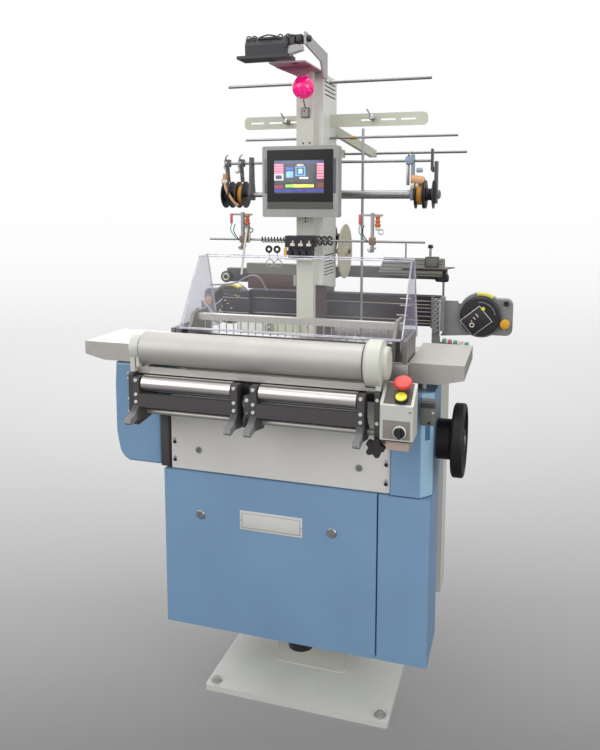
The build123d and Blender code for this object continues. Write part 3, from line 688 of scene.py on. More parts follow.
print("base")
anchorBolt = {"x": 221, "y": 240, "top": 15.0, "size": 10, "height": 7, "washer": 15}
barePlate = {
    "edges": (-136, 28, 466, 516), "pinInset": 3, "pin": [(1.6, 0), (1.6, 0.8), (0.9, 1.4), (0, 1.4)],
    "layers": (("white", 0, 1.4, -0.2, 0.5), ("panelGrey", 5, 1.9, 1.2, 0.3), ("white", 7, 2.1, 1.4, 0.3)),
}
plateScrews = {
    "disc": [(9, 0), (9, 1.2), (8.4, 1.8), (0, 1.8)], "discX": (-250, 166), "discZ": 657,
    "hole": [(4.6, 0), (4.6, 1.4), (3.8, 2), (0, 2)], "holeZ": (672, 625), "inset": 9,
    "pin": [(3.0, 0), (3.0, 3.2), (2.2, 3.8), (0, 3.8)],
}


def addAnchorBolts():
    shape = Shape("zinc")
    x, y, top, *sizes = anchorBolt.values()
    for across in (-x, x):
        for along in (-y, y):
            shape.hexBolt((across, along, top), up, *sizes)
    shape.finish("anchorBolts", "frame", "steel")


def addBarePlate():
    face = corners("front_panel")[0].y
    x0, x1, z0, z1 = barePlate["edges"]
    shape = Shape("white")
    for finish, inset, outer, inner, rim in barePlate["layers"]:
        shape.use(finish).box(
            (x0 + inset, face - outer, z0 + inset), (x1 - inset, face - inner, z1 - inset), rim)
    for x in (x0 + barePlate["pinInset"], x1 - barePlate["pinInset"]):
        shape.use("steel").knob(barePlate["pin"], (x, face - 1.4, (z0 + z1) / 2), front, 12)
    shape.finish("barePlate", "front_panel", "white_paint")


def addPlateScrews():
    low, high = corners("front_plate")
    face, z = low.y, plateScrews["discZ"]
    shape = Shape("steel")
    for x in plateScrews["discX"]:
        shape.use("steel").knob(plateScrews["disc"], (x, face, z), front)
        shape.use("castGrey").socketScrew((x, face - 1.6, z), front, 5.5, 3.4)
    for x in (low.x + plateScrews["inset"], high.x - plateScrews["inset"]):
        for z in plateScrews["holeZ"]:
            # painted shade: each hole is a dark disc
            shape.use("dark").knob(plateScrews["hole"], (x, face, z), front, 16)
            shape.use("steel").knob(plateScrews["pin"], (x, face, z + 9), front, 16)
    shape.finish("plateScrews", "frame", "steel")


addAnchorBolts()
addBarePlate()
addPlateScrews()


# Press assembly and controls

print("press assembly")
bedStrut = {  # dark post between the end case and the front plate
    "post": ("blackened", "box", (-357, -262, 604), (-329, -249.5, 738), 1.5),
    # painted shade in the gap between the strut and the front plate
    "gap": ("dark", "box", (-334, -263, 604), (-328, -250, 738), 0.6),
}
Shape("blackened").add(bedStrut).finish("bedStrut", "frame", "blackened_steel")

controls = {"hinge": (284, -400, 856), "tilt": 31.66, "stopAt": 50, "startAt": 19}


def slope(distance):  # a place on the slope of the control box
    run = Matrix.Rotation(math.radians(controls["tilt"]), 4, "X")
    return Matrix.Translation(controls["hinge"]) @ run @ Matrix.Translation((0, distance, 0))


stopHead = {
    "mushroom": ("stopRed", "turn", [
        (12.5, 7), (13, 10), (15.6, 15.4), (17, 16.4), (19.4, 17.6), (20.2, 19.6), (19.8, 22.4), (17.8, 25),
        (11, 26.6), (0, 27)], slope(controls["stopAt"]), 48),
    "stem": ("steel", "turn", [(7.8, -12), (7.8, 8), (0, 8)], slope(controls["stopAt"]), 32),
}
startCap = {
    "ring": ("dark", "turn", [(13.6, 0.2), (14, 2), (14, 8), (13, 9), (0, 9)],
             slope(controls["startAt"]), 40),
    "cap": ("startYellow", "turn", [(12.2, 8.4), (12.2, 10.6), (11.6, 11.4), (0, 11.6)],
            slope(controls["startAt"]), 40),
}
head = Shape("stopRed").add(stopHead).finish("stopHead", "estop_button", "red_plastic")
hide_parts("estop_button")
cap = Shape("dark").add(startCap).finish("startCap", "start_button", "yellow_plastic")
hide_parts("start_button")

trayLow, trayHigh = corners("right_tray")
trayApron = {  # stainless end of the right tray, in front of the bed's ear
    "face": ("stainless", "box", (231, trayLow.y - 12, trayHigh.z - 45),
             (trayLow.x + 1, trayLow.y - 10, trayHigh.z - 1), 0.4),
    "fold": ("stainless", "box", (231, trayLow.y - 12, trayHigh.z - 3),
             (trayLow.x + 1, trayLow.y + 1, trayHigh.z - 1), 0.4),
}
Shape("stainless").add(trayApron).finish("trayApron", "frame", "stainless")

pressBolts = {
    "heights": (861, 827, 809), "face": -387.4, "inset": 10, "hook": (-420, 774), "lean": (0, -0.9, -0.45),
    "pin": [(2.8, -6), (2.8, 4), (3.6, 6), (3.6, 10.5), (2.6, 12), (0, 12)],
}
plateBolts = {"outer": (884, 872, 821, 790), "inner": (858, 806)}


def addPressBolts(side):
    node = side + "_nip_frame"
    rollLow, rollHigh = corners(side + "_nip_roll")
    low, high = corners(node)
    y, z = pressBolts["hook"]
    shape = Shape("bolt")
    for x in ((low.x + rollLow.x + pressBolts["inset"]) / 2, (high.x + rollHigh.x - pressBolts["inset"]) / 2):
        for height in pressBolts["heights"]:
            shape.use("bolt").socketScrew((x, pressBolts["face"], height), front, 4.2, 3.2)
        shape.use("castGrey").knob(pressBolts["pin"], (x, y, z), pressBolts["lean"], 16)
    shape.finish(side + "PressBolts", node, "steel")


def addPlateBolts():
    shape = Shape("bolt")
    for z in plateBolts["outer"]:
        shape.use("zinc").socketScrew((corners("left_side_plate")[0].x + 0.4, -372, z - 12), left, 4.2, 4.8)
    for z in plateBolts["inner"]:
        shape.use("bolt").socketScrew((corners("right_side_plate")[0].x + 6, -375.6, z), front, 4.0, 3.0)
    shape.finish("sidePlateBolts", "frame", "steel")


for side in ("left", "right"):
    addPressBolts(side)
addPlateBolts()

rollerEndCap = {
    "grip": ("black", "knob", [(4, -2), (9, -2), (10, 0), (10, 7), (8, 9), (0, 9)],
             (corners("takedown_roller")[0].x - 2, -340, 932), left),
}
centreLever = {
    "arm": ("blackened", "box", (-76, -388, 770), (-60, -366, 846), 2),
    # painted shade: the slot is a dark box on the lever face
    "slot": ("dark", "box", (-73, -390, 776), (-63, -386, 800), 1),
    "topScrew": ("bolt", "socketScrew", (-68, -387.6, 836), front, 4.4, 3),
    "lowScrew": ("steel", "socketScrew", (-68, -387.6, 806), front, 3, 2),
}
limitSwitch = {  # cast block on the corner of the gear cover
    "block": ("castGrey", "box", (313, -303, 788), (345, -266, 842), 2),
    "neck": ("castGrey", "box", (314, -270, 796), (332, -244, 834), 1),
    "lid": ("blackened", "box", (312, -304.5, 829), (345.6, -290, 842.6), 1),
    # painted shade: the hole is a dark disc
    "hole": ("dark", "knob", [(3.2, 0), (3.2, 1), (0, 1)], (333, -303, 795), front, 14),
    "screw": ("bolt", "socketScrew", (341, -302.6, 819), front, 3.0, 2.4),
    "boxMark": ("dark", "box", (302, -400.9, 843), (308, -399.6, 845), 0.3),
    "boxSeam": ("dark", "box", (243, -400.4, 777.6), (309.5, -345, 780.3), 0.4),
}
Shape("black").add(rollerEndCap).finish("rollerEndCap", "takedown_roller", "black_plastic")
Shape("blackened").add(centreLever).finish("centreLever", "frame", "blackened_steel")
Shape("castGrey").add(limitSwitch).finish("limitSwitch", "frame", "cast_grey")


# Guard

print("guard")
rims = {"left": -308, "right": 259, "across": ((-115, 1138.5), (-66, 1140), (-240, 967))}


def addGuardRims():  # the cut and folded edges of the clear sheet catch the light
    x0, x1 = rims["left"], rims["right"]
    shape = Shape("rim")
    for x in (x0, x1):
        shape.pipe([(x, -239, 967), (x, -115, 1138.5), (x, -66, 1140), (x, -3, 936)], 1.7, 8, 0)
        shape.pipe([(x, -239, 967), (x, -120, 962), (x, -6, 934)], 1.2, 8, 0)
    for y, z in rims["across"]:
        shape.pipe([(x0, y, z), (x1, y, z)], 1.6, 8, 0)
    shape.pipe([(x0 + 2, -252, 966.5), (x1 - 2, -252, 966.5)], 1.2, 8, 0)
    shape.finish("guardRims", "guard", "clear_acrylic")


addGuardRims()


# Operator panel

print("operator panel")
display = {  # tiles: x0, x1, z0, z1 as shares of the display, and a colour
    "edges": (-214, 1, 1306, 1404), "sunk": 1.2,
    "tiles": [
        (0.00, 1.00, 0.00, 1.00, (58, 62, 70), 0.55),
        (0.10, 0.90, 0.86, 0.95, (60, 72, 112), 0.7),
        (0.14, 0.86, 0.04, 0.12, (62, 66, 150), 0.7),
        (0.30, 0.70, 0.17, 0.26, (214, 214, 92), 0.95),
        (0.30, 0.42, 0.17, 0.26, (150, 205, 90), 0.95),
        (0.44, 0.58, 0.50, 0.78, (96, 150, 205), 0.9),
        (0.46, 0.56, 0.54, 0.74, (54, 60, 84), 0.7),
        (0.48, 0.54, 0.57, 0.71, (150, 196, 226), 0.9),
        (0.31, 0.41, 0.46, 0.64, (120, 176, 224), 0.9),
        (0.31, 0.41, 0.67, 0.76, (70, 96, 190), 0.8),
        (0.50, 0.62, 0.42, 0.47, (236, 236, 240), 0.95),
        (0.46, 0.56, 0.80, 0.84, (226, 190, 150), 0.8),
        (0.14, 0.27, 0.38, 0.56, (205, 205, 220), 0.9),
        (0.16, 0.25, 0.41, 0.53, (60, 58, 70), 0.7),
        (0.14, 0.27, 0.14, 0.24, (150, 62, 82), 0.7),
        (0.74, 0.86, 0.16, 0.30, (120, 58, 60), 0.7),
    ],
    "rows": [  # x0, x1, z0, step, count and colour of the two columns of fields
        (0.13, 0.27, 0.80, 0.075, 4, (232, 128, 158)),
        (0.74, 0.87, 0.81, 0.078, 6, (236, 138, 160)),
    ],
}


def addDisplay():
    depth = corners("touch_screen")[0].y + display["sunk"]
    x0, x1, z0, z1 = display["edges"]
    width, height = x1 - x0, z1 - z0
    shape = Shape("screen")
    tiles = list(display["tiles"])
    for a, b, c, step, count, colour in display["rows"]:
        tiles += [(a, b, c - row * step, c + 0.06 - row * step, colour, 0.95) for row in range(count)]
    for index, (a, b, c, d, colour, strength) in enumerate(tiles):
        key = "tile" + str(index)
        look[key] = glowing(key, colour, strength)
        lift = 0.0 if index == 0 else 0.1 + 0.02 * index
        shape.use(key).box(
            (x0 + a * width, depth - 0.15 - lift, z0 + c * height),
            (x0 + b * width, depth + 0.05, z0 + d * height))
    shape.finish("displayFields", "frame", "screen_glass")


addDisplay()


# Weft feeders

print("weft feeders")
feederDial = {
    "plate": ((-38, -31, -0.6), (38, 31, 0.9), 0.4), "cover": ((-36, -29, 0), (36, 29, 2.2), 0.6), "spin": 40,
    "button": [(6, 0), (6, 3.4), (4.4, 5), (0, 5)], "arcReach": 44,
}
feederTrim = {
    "knob": [(15, 0), (15, 10), (13, 14), (6, 15.5), (0, 15.5)], "hole": [(8, 0), (8, 6), (0, 6)],
    "rimOuter": 69.6, "rimInner": 63, "knobDrop": {"left": 10, "right": -22},
}


def addFeederTrim(side):
    low, high = corners(side + "_feeder_disc")
    middle = (low + high) / 2
    face = low.y
    shape = Shape("dark")
    tilt = facing((middle.x - 12, face + 0.4, middle.z - 14), front, math.radians(feederDial["spin"]))
    shape.use("bolt").box(*feederDial["plate"], tilt)
    shape.use("black").box(*feederDial["cover"], tilt)
    shape.use("ceramic").eye(6.0, 1.7, (middle.x - 24, face - 2.4, middle.z - 27), front)
    shape.use("capYellow").knob(feederDial["button"], (middle.x + 8, face, middle.z + 24), front, 20)
    for k in range(3):
        shape.use("ceramic").box((-12 + 12 * k, 6, 2.2), (-9 + 12 * k, 10 + 4 * k, 2.6), 0, tilt)
    arc = []
    for k in range(11):
        across, rise = polar(feederDial["arcReach"], math.radians(8 + 9 * k))
        arc.append((middle.x + across, face - 0.4, middle.z + rise))
    shape.use("castGrey").pipe(arc, 1.8, 8, 0)
    shape.finish(side + "FeederDial", side + "_feeder_disc", "black_plastic")
    low, high = corners(side + "_feeder_body")
    shape = Shape("capAmber")
    sign, outer = (1, high.x) if side == "right" else (-1, low.x)
    knob = (outer - sign * 22, low.y + 16, middle.z + feederTrim["knobDrop"][side])
    shape.knob(feederTrim["knob"], knob, front, 28)
    # painted shade: the hole is a dark plug
    shape.use("dark").knob(feederTrim["hole"], (outer - sign * 20, low.y + 18, middle.z + 40), front, 16)
    sweep = [math.radians(58 + 6 * k) for k in range(8)]
    outline = [polar(feederTrim["rimOuter"], angle) for angle in sweep]
    outline += [polar(feederTrim["rimInner"], angle) for angle in reversed(sweep)]
    shape.use("capYellow").prism(outline, upright(middle.x, low.y + 50, middle.z), 34)
    shape.finish(side + "FeederTrim", "frame", "yellow_plastic")


for side in ("left", "right"):
    addFeederTrim(side)

tensionerPlates = {
    "backPlate": ("castGrey", "box", (252, 366, 862), (274, 372, 984), 1),
    "wing": ("feederGrey", "prism", [
        (281, 975), (328, 975), (338, 930), (392, 892), (396, 872), (276, 863), (288, 890)],
        upright(0, 399, 0), 5),
    # painted highlight along the edge of the back plate
    "edgeHighlight": ("bolt", "box", (274.5, 362, 868), (277, 371, 980), 0.4),
}
tensionerFoot = {
    "foot": ("castGrey", "prism", [(252, 863), (252, 842), (370, 832), (370, 837), (276, 846), (276, 863)],
             upright(0, 384, 0), 18),
}


def addTensioners():  # row of spring tensioners on the right end of the beam
    shape = Shape("steel")
    for k in range(7):
        z = 975 - k * 15
        x = 262 - k * 0.5
        shape.use("steel").eye(5.5, 1.3, (x, 362, z), (0.3, -1, 0.25), 16, 6)
        shape.spring((x + 6, 366, z - 3), (x + 16, 360, z + 2), 3.2, 0.8, 4)
        shape.use("blackened").box((x + 2, 364, z - 5), (x + 8, 372, z + 3), 0.8)
    shape.add(tensionerPlates)
    for k, colour in enumerate(("wireGreen", "wireRed", "wireGreen", "ceramic", "wireGreen")):
        shape.use(colour).box((284 + k * 17, 366, 846 - k * 2), (297 + k * 17, 380, 858 - k * 2), 1.5)
    shape.add(tensionerFoot).finish("weftTensioners", "frame", "steel")


beamPlate = {
    "plate": ("blackAnodised", "box", (-448, 349, 894), (-350, 357, 986), 1.5),
    "spacer": ("blackAnodised", "box", (-372, 356, 900), (-352, 372.5, 980), 1),
}
beamTrim = {  # heights of strips and rails, places of plugs and labels
    "strips": (912, 962), "rails": (901, 924, 938, 950, 972), "labels": ((150, 978), (150, 956), (140, 925)),
    "plugs": ((-437, 972, "clampBlue"), (-426, 970, "wireGreen"), (-414, 968, "wireGreen"),
              (-402, 969, "capYellow"), (-392, 966, "ceramic"), (-440, 950, "ceramic"),
              (-430, 940, "capYellow"), (-418, 925, "ceramic"), (-404, 903, "ceramic"),
              (-390, 904, "capYellow")),
    "hose": [(-500, 366, 1000), (-440, 364, 1004), (-398, 362, 1013), (-350, 362, 1036), (-318, 364, 1028),
             (-295, 372, 986)],
}


def addBeamTrim():  # slot strips, the plate over the left feeder and the hose above it
    shape = Shape("blackAnodised").add(beamPlate)
    for z in beamTrim["strips"]:
        shape.use("slotStrip").box((-446, 348.2, z - 1.2), (-352, 349.2, z + 1.2))
        shape.box((-345, 372.2, z - 1.3), (255, 374, z + 1.3))
    for x, z, colour in beamTrim["plugs"]:
        shape.use(colour).box((x, 346.6, z), (x + 7, 349.2, z + 3.2), 0.3)
    for z in beamTrim["rails"]:
        shape.use("steel").box((196, 368.6, z), (256, 372.2, z + 3.5), 0.4)
    shape.use("castGrey").box((248, 364, 890), (257, 372.2, 990), 1)
    for x, z in beamTrim["labels"]:
        shape.use("ceramic").box((x, 370.8, z), (x + 34, 372.2, z + 3))
    shape.use("paleHose").pipe(beamTrim["hose"], 3.0, 10, 8)
    shape.finish("beamTrim", "frame", "black_aluminium")


carrierBlock = {  # pale block behind the needle bed
    "block": ("cream", "box", (-318, 160, 859), (-126, 196, 922), 3),
    "lid": ("columnBox", "box", (-312, 156, 868), (-224, 161, 914), 1.5),
    "stop": ("castGrey", "box", (-216, 152, 866), (-199, 161, 918), 1.5),
    "screw": ("bolt", "socketScrew", (-208, 152.4, 906), front, 4, 2.6),
}
leftFeederBracket = {  # bent bracket and small plate outside the left feeder
    "wall": ("castGrey", "prism", [(-529, 945), (-500, 918), (-455, 872), (-470, 866), (-530, 905)],
             upright(0, 362, 0), 4),
    # painted highlight along the top edge of the bent wall
    "edge": ("bolt", "prism", [(-529, 947), (-523, 947), (-452, 874), (-456, 870)], upright(0, 362, 0), 6),
    "plate": ("blackened", "box", (-20, -17, 0), (20, 17, 4), 1,
              facing((-554, 378, 894), front, math.radians(42))),
    "eye": ("bolt", "eye", 6, 1.6, (-555, 373.4, 893), front),
    "arm": ("castGrey", "box", (-548, 378, 886), (-500, 384, 902), 1),
}
addTensioners()
addBeamTrim()
Shape("cream").add(carrierBlock).finish("carrierBlock", "frame", "cream_paint")
Shape("bolt").add(leftFeederBracket).finish("leftFeederBracket", "frame", "steel")


# Column and creel

print("creel")
creel = {"y": 300, "upperZ": 1402, "bobbinZ": 1303, "hooks": (-352, -400), "clamps": (-352, -400, 182)}
yarn = {"x": {"left": -350, "right": 216}, "core": 18, "reach": 31, "half": 8.8, "from": -8.4, "pitch": 1.4}
creelArm = {"start": (-70, 376, 1505), "end": (34, 486, 1436)}  # square arm of the rear thread rod
armRoute = Vector(creelArm["end"]) - Vector(creelArm["start"])
armParts = {
    "arm": ("cream", "prism", [(-10, -13), (10, -13), (10, 13), (-10, 13)],
            facing(creelArm["start"], armRoute), armRoute.length),
    "head": ("cream", "box", (22, 474, 1424), (46, 490, 1448), 2),
    "flange": ("cream", "box", (-84, 378, 1484), (-62, 386, 1526), 1),
    "sleeve": ("sleeveBrass", "knob", [(5.5, 0), (5.5, 16), (0, 16)], (2, 300, 1474), right, 16),
}
Shape("cream").add(armParts).finish("creelArm", "frame", "cream_paint")


def addYarn(side):  # wound yarn, full in the middle and slightly uneven
    outline = [(yarn["core"], -yarn["half"])]
    for k in range(13):
        s = yarn["from"] + k * yarn["pitch"]
        outline.append((yarn["reach"] + 0.5 * math.sin(k * 2.4) - 0.05 * s * s, s))
    outline.append((yarn["core"], yarn["half"]))
    shape = Shape("yarn")
    shape.knob(outline, (yarn["x"][side], creel["y"], creel["bobbinZ"]), right, 40)
    shape.finish(side + "Yarn", side + "_bobbins", "bobbin_plastic")


creelFittings = {
    "rodCollar": ("blackened", "box", (247, 290, 1372), (254, 310, 1436), 1),
    "hanger": ("blackened", "box", (258, 288, 1276), (268, 312, 1400), 2),
    "hangerFoot": ("blackened", "box", (250, 292, 1368), (264, 308, 1384), 1),
    "hangerNut": ("castGrey", "knob", [(13, 0), (13, 6), (8, 9), (0, 9)], (268, 300, 1303), right),
    "drop": ("steel", "box", (176, 292, 1330), (184, 306, 1392), 1.5),
    "cone": ("copperCone", "knob", [(10, -20), (13, -18), (13, 14), (10, 20), (0, 20)], (211, 286, 1345),
             (1, 0, -0.15), 28),
    "bell": ("ceramic", "knob", [(4, -12), (10, -10), (11, 4), (6, 12), (0, 13)], (202, 284, 1328),
             (1, 0, 0.2)),
    "pad": ("clampBlue", "knob", [(6, 0), (7, 2), (7, 18), (0, 18)], (206, 290, 1374), right, 20),
    "clampFace": ("clampBlue", "knob", [(13, 0), (13, 5), (8, 7), (0, 7)], (186, 286, 1404), front),
    "flangeNut": ("castGrey", "knob", [(13.2, 0), (17, 6), (17, 12), (9, 18), (0, 18)], (186, 300, 1303),
                  right, 28),
    "leftLoop": ("copperCone", "pipe", [
        (-404, 280, 1350), (-392, 268, 1316), (-366, 266, 1280), (-352, 270, 1270)], 4.5, 8, 6),
    "leftBlock": ("ceramic", "box", (-412, 272, 1338), (-390, 288, 1352), 2),
    "leftCap": ("copperCone", "knob", [(9, 0), (10, 3), (8, 18), (0, 18)], (-401, 282, 1352), up),
    "leftCone": ("bolt", "knob", [(12, 0), (12, 3), (7, 5), (8.5, 9), (0, 14)], (-322, 300, 1303), right),
    "leftNut": ("bolt", "knob", [(7, 0), (7, 8), (4, 10), (0, 10)], (-356, 276, 1376), front, 20),
}


def addCreelClamps():
    y, z = creel["y"], creel["upperZ"]
    shape = Shape("castGrey")
    for x in creel["clamps"]:
        shape.use("castGrey").box((x - 8, y - 12, z - 11), (x + 8, y + 12, z + 13), 2)
        shape.use("steel").socketScrew((x, y - 11.5, z + 2), front, 4.4, 4)
        shape.pipe([(x, y - 12, z + 8), (x + 4, y - 26, z + 18), (x + 14, y - 30, z + 26)], 2, 8, 4)
    for x in creel["hooks"]:
        hook = facing((x + 6, y - 16, z - 8), front)
        shape.use("blackened").prism([(-6, 0), (6, 0), (10, -52), (-2, -52)], hook, 4)
        shape.use("steel").spring((x - 4, y - 20, z - 6), (x + 14, y - 22, z - 46), 4, 1.0, 7)
    shape.add(creelFittings).finish("creelClamps", "frame", "blackened_steel")


slotClamps = {
    "spots": ((-196, 1532), (72, 1535)),
    "knob": [(9, 0), (9, 3), (6, 4), (6, 14), (8.5, 16), (8.5, 24), (5, 27), (0, 27)],
}


def addSlotClamps():
    shape = Shape("castGrey")
    for x, z in slotClamps["spots"]:
        shape.use("steel").knob(slotClamps["knob"], (x, creel["y"] - 2, z - 6), front)
        shape.pipe([(x, 278, z - 6), (x - 7, 272, z + 8), (x - 14, 270, z + 18)], 2.4, 8, 5)
    shape.finish("slotClamps", "frame", "steel")


columnFace = corners("column_front")[0].y
columnTrim = {
    "sensor": ("panelGrey", "box", (-120, columnFace - 9, 1526), (-95, columnFace + 0.2, 1554), 2),
    "eye": ("dark", "knob", [(2.2, 0), (2.2, 2), (0, 2)], (-110, columnFace - 9, 1545), front, 12),
    "lead": ("dark", "pipe", [(-107, columnFace - 5, 1554), (-106, columnFace - 20, 1562),
                              (-98, columnFace - 52, 1570)], 1.6, 8, 6),
}
columnScrews = {
    "head": [(2.6, 0), (2.6, 1.2), (1.6, 1.8), (0, 1.8)],
    "spots": ((-116, 1453), (-95, 1453), (-108, 1233), (-108, 1223), (-101, 902)),
}


def addColumnTrim():
    shape = Shape("dark")
    for x, z in columnScrews["spots"]:
        shape.knob(columnScrews["head"], (x, columnFace, z), front, 12)
    shape.add(columnTrim).finish("columnTrim", "frame", "cream_paint")


for side in ("left", "right"):
    addYarn(side)
addCreelClamps()
addSlotClamps()
addColumnTrim()


# Yarn stop motion

print("stop motion")
sensorStrips = {
    "indicator": ("capAmber", "box", (-160, 147, 1120), (-152, 156, 1148), 1),
    "strip": ("ceramic", "box", (-158, 147, 1111), (-74, 152, 1116), 1),
}
coil = {"start": (-240, 175, 1168), "end": (-162, 175, 1168), "dropFrom": -238, "dropPitch": 10, "drops": 8}


def addStopMotionTrim():
    shape = Shape("ceramic")
    for k in range(3):
        x = -140 + k * 25
        shape.use("ceramic").box((x, 145.5, 1152), (x + 14, 150.5, 1160), 1)
        shape.knob([(2.4, 0), (2.4, 8), (0, 8)], (x + 8, 148, 1160), up, 12)
    shape.add(sensorStrips)
    for k in range(3):
        shape.use("blackened").eye(12, 3.2, (-58 + k * 16, 175, 1168), (1, -0.3, 0.2))
    shape.spring(coil["start"], coil["end"], 8, 1.7, 8)
    for k in range(coil["drops"]):  # drop wires hang from the coil
        x = coil["dropFrom"] + k * coil["dropPitch"]
        shape.use("ceramic").knob([(2.4, 0), (2.4, 3), (0, 3)], (x, 166, 1164), front, 10)
    for x in (-214, -188):
        shape.use("dark").eye(8, 3.6, (x, 168, 1140), front)
        shape.use("rodSteel").eye(11, 1.6, (x + 2, 170, 1098), (0.2, -1, 0))
        shape.pipe([(x, 170, 1131), (x + 2, 172, 1110)], 1.2, 6, 2)
    shape.finish("stopMotionTrim", "frame", "black_plastic")


def addStand(name, x):  # guide eyes and leads at the head of one yarn stand
    loop = [(x - 34, 172, 1218), (x - 38, 170, 1196), (x - 22, 171, 1172), (x - 10, 174, 1168)]
    neck = [(6, 0), (8, 4), (5, 10), (8, 16), (6, 20), (9, 26), (7, 32), (0, 32)]
    parts = {
        "neck": ("orange", "knob", neck, (x + 16, 172, 1242), down, 20),
        "tip": ("ceramic", "knob", [(6.5, 0), (6.5, 8), (3, 11), (0, 11)], (x + 16, 172, 1210), down, 20),
        "sleeve": ("wireRed", "box", (x - 40, 169, 1216), (x - 32, 175, 1246), 2),
        "lead": ("wireGreen", "pipe", loop, 1.5, 8, 6),
        "secondLead": ("dark", "pipe", [(a + 10, b, c - 4) for a, b, c in loop], 1.5, 8, 6),
        "clamp": ("castGrey", "box", (x - 9, 166, 1158), (x + 9, 184, 1180), 2),
        "eye": ("steel", "eye", 7, 2, (x + 26, 172, 1196), (0.2, -1, 0.3)),
        "spring": ("steel", "spring", (x - 12, 170, 1140), (x + 10, 168, 1152), 5, 1.2, 5),
    }
    Shape("orange").add(parts).finish(name, "frame", "black_plastic")


standLever = {
    "rod": ("ceramic", "pipe", [(-279, 160, 1206), (-288, 158, 1150), (-300, 160, 1062)], 3.4, 12, 8),
    "pivot": ("castGrey", "knob", [(7, 0), (7, 6), (0, 6)], (-279, 163, 1206), front, 20),
    "plate": ("castGrey", "box", (-286, 163, 1158), (-274, 172, 1212), 2),
}
addStopMotionTrim()
addStand("leftStand", -300)
addStand("rightStand", 100)
Shape("ceramic").add(standLever).finish("standLever", "frame", "cream_plastic")


# Rear yarn path

print("rear")
rackSkirt = {  # lower skirt and left end of the rear rack
    "skirt": ("rackBrown", "box", (-431, 541, 970), (-120, 567, 1025), 2),
    "tab": ("cream", "box", (-258, 538, 984), (-246, 541.5, 1060), 1),
    "endBlock": ("blackened", "box", (-512, 541, 992), (-433, 568, 1042), 3),
    "cap": ("black", "knob", [(21, 0), (21, 7), (18, 9), (0, 9)], (-512, 541, 1010), front, 28),
    "ring": ("ceramic", "eye", 11, 2.8, (-512, 531.5, 1010), front, 28),
}
Shape("brown").add(rackSkirt).finish("rackSkirt", "frame", "dark_brown")

tray = {"start": 60, "length": 206, "ribs": 4, "slope": 0.477, "low": (478, 1050)}
yarnWheel = {
    "wheel": ("black", "knob", [
        (10, -20), (44, -20), (44, -17), (16, -15), (16, 15), (44, 17), (44, 20), (10, 20)],
        (-84, 512, 1158), right, 40),
    "axle": ("steel", "knob", [(8, 0), (8, 60), (0, 60)], (-114, 512, 1158), right, 20),
    "arm": ("castGrey", "box", (-112, 452, 1146), (-96, 520, 1170), 2),
    "tray": ("rackTop", "prism", [
        (478, 1038), (478, 1050), (566, 1092), (566, 1062), (536, 1062), (536, 1046)],
             Matrix.Translation((tray["start"], 0, 0)) @ Matrix(
                 ((0, 0, 1, 0), (1, 0, 0, 0), (0, 1, 0, 0), (0, 0, 0, 1))), tray["length"]),
}
trayFittings = {
    "lip": ("rodSteel", "box", (66, 476.4, 1041), (250, 478.6, 1044), 0.4),
    "clamp": ("castGrey", "box", (206, 512, 1066), (250, 548, 1100), 3),
    "stem": ("steel", "knob", [(4, 0), (4, 28), (0, 28)], (222, 528, 1100), up, 16),
    "stemKnob": ("black", "knob", [(7, 0), (9, 4), (7, 12), (0, 12)], (222, 528, 1128), up, 20),
    "handKnob": ("black", "knob", [(18, 0), (20, 6), (16, 22), (0, 22)], (262, 536, 1036), front),
    "block": ("black", "box", (240, 516, 1018), (284, 536, 1044), 6),
    "lowRod": ("rodSteel", "pipe", [(267, 530, 1020), (267, 530, 940)], 3.5, 10, 1),
    "highRod": ("rodSteel", "pipe", [(138, 545, 1066), (138, 545, 1150)], 2.5, 8, 1),
}


def addRearTrim():
    shape = Shape("black").add(yarnWheel)
    edge, top = tray["low"]
    for k in range(tray["ribs"]):
        y = 488 + k * 20
        z = top + (y - edge) * tray["slope"]
        shape.use("castGrey").box((64, y, z - 1), (262, y + 3, z + 2.5), 0.6)
    shape.add(trayFittings).finish("rearTrim", "frame", "black_plastic")


addRearTrim()


# Reading lamp

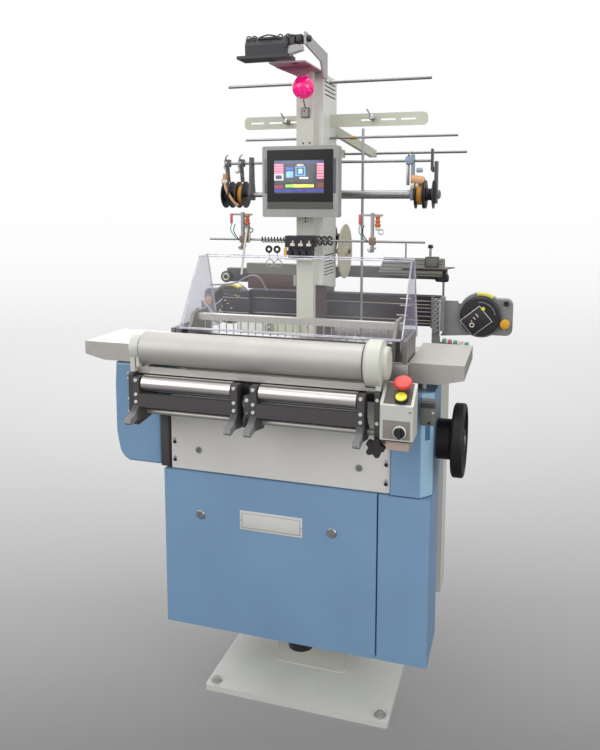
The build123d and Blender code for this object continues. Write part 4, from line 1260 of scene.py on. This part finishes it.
print("lamp")
lampGusset = {  # folded tongue under the bracket, lit pink by the lamp
    "tongue": ("gusset", "prism", [(-168, 1656.4), (-63, 1656.4), (-58, 1650), (-86, 1627), (-99, 1627)],
               upright(0, 107, 0), 3),
}
Shape("gusset").add(lampGusset).finish("lampGusset", "frame", "grey_aluminium")

lampKnobs = {  # x, z, radius and height
    "spots": ((-214, 1713, 9, 12), (-203, 1716, 6, 10), (-192, 1716, 7, 5), (-112, 1717, 8, 9),
              (-98, 1716, 10, 12)),
    "eyes": (-216, -200, -126, -104),
}
lampParts = {
    "bar": ("blackened", "box", (-190, 22, 1717), (-128, 36, 1723), 1.5),
    "lead": ("black", "pipe", [(-186, 24, 1722), (-160, 20, 1727), (-134, 24, 1722)], 2, 8, 4),
    "plug": ("black", "box", (-116, 18, 1690), (-102, 34, 1712), 2),
    "endBlock": ("blackened", "box", (-104.5, 26, 1692), (-86, 66, 1721), 2),
    "outerBlock": ("black", "box", (-84, 28, 1704), (-66, 60, 1726), 3),
    "endPlate": ("armGrey", "prism", [(-107, 1667), (-58, 1680), (-60, 1694), (-80, 1699), (-112, 1694)],
                 upright(0, 24, 0), 3),
    "plateEdge": ("castGrey", "prism", [(-104, 1670), (-62, 1681), (-63, 1684), (-104, 1674)],
                  upright(0, 24, 0), 4.5),
}
armTrim = {
    "knob": ("black", "knob", [(9, 0), (9, 8), (6, 11), (0, 11)],
             (corners("lamp_arm")[1].x, 44, 1716), right, 20),
    # painted shade: the hole is a dark disc
    "hole": ("dark", "knob", [(7, 0), (7, 1), (0, 1)], (-96, 60, 1656), down, 20),
}


def addLampTrim():
    shape = Shape("black")
    for x, z, r, h in lampKnobs["spots"]:
        shape.use("black").knob([(r, -6), (r, h * 0.7), (r * 0.8, h), (0, h)], (x, 36, z), (0.1, -0.2, 1), 20)
    for x in lampKnobs["eyes"]:
        shape.use("blackened").eye(6, 2, (x, 26, 1722), (0.5, -1, 0.4), 16, 6)
    shape.add(lampParts).finish("lampTrim", "lamp_head", "blackened_steel")


addLampTrim()
Shape("armGrey").add(armTrim).finish("armTrim", "frame", "grey_aluminium")

print("done")
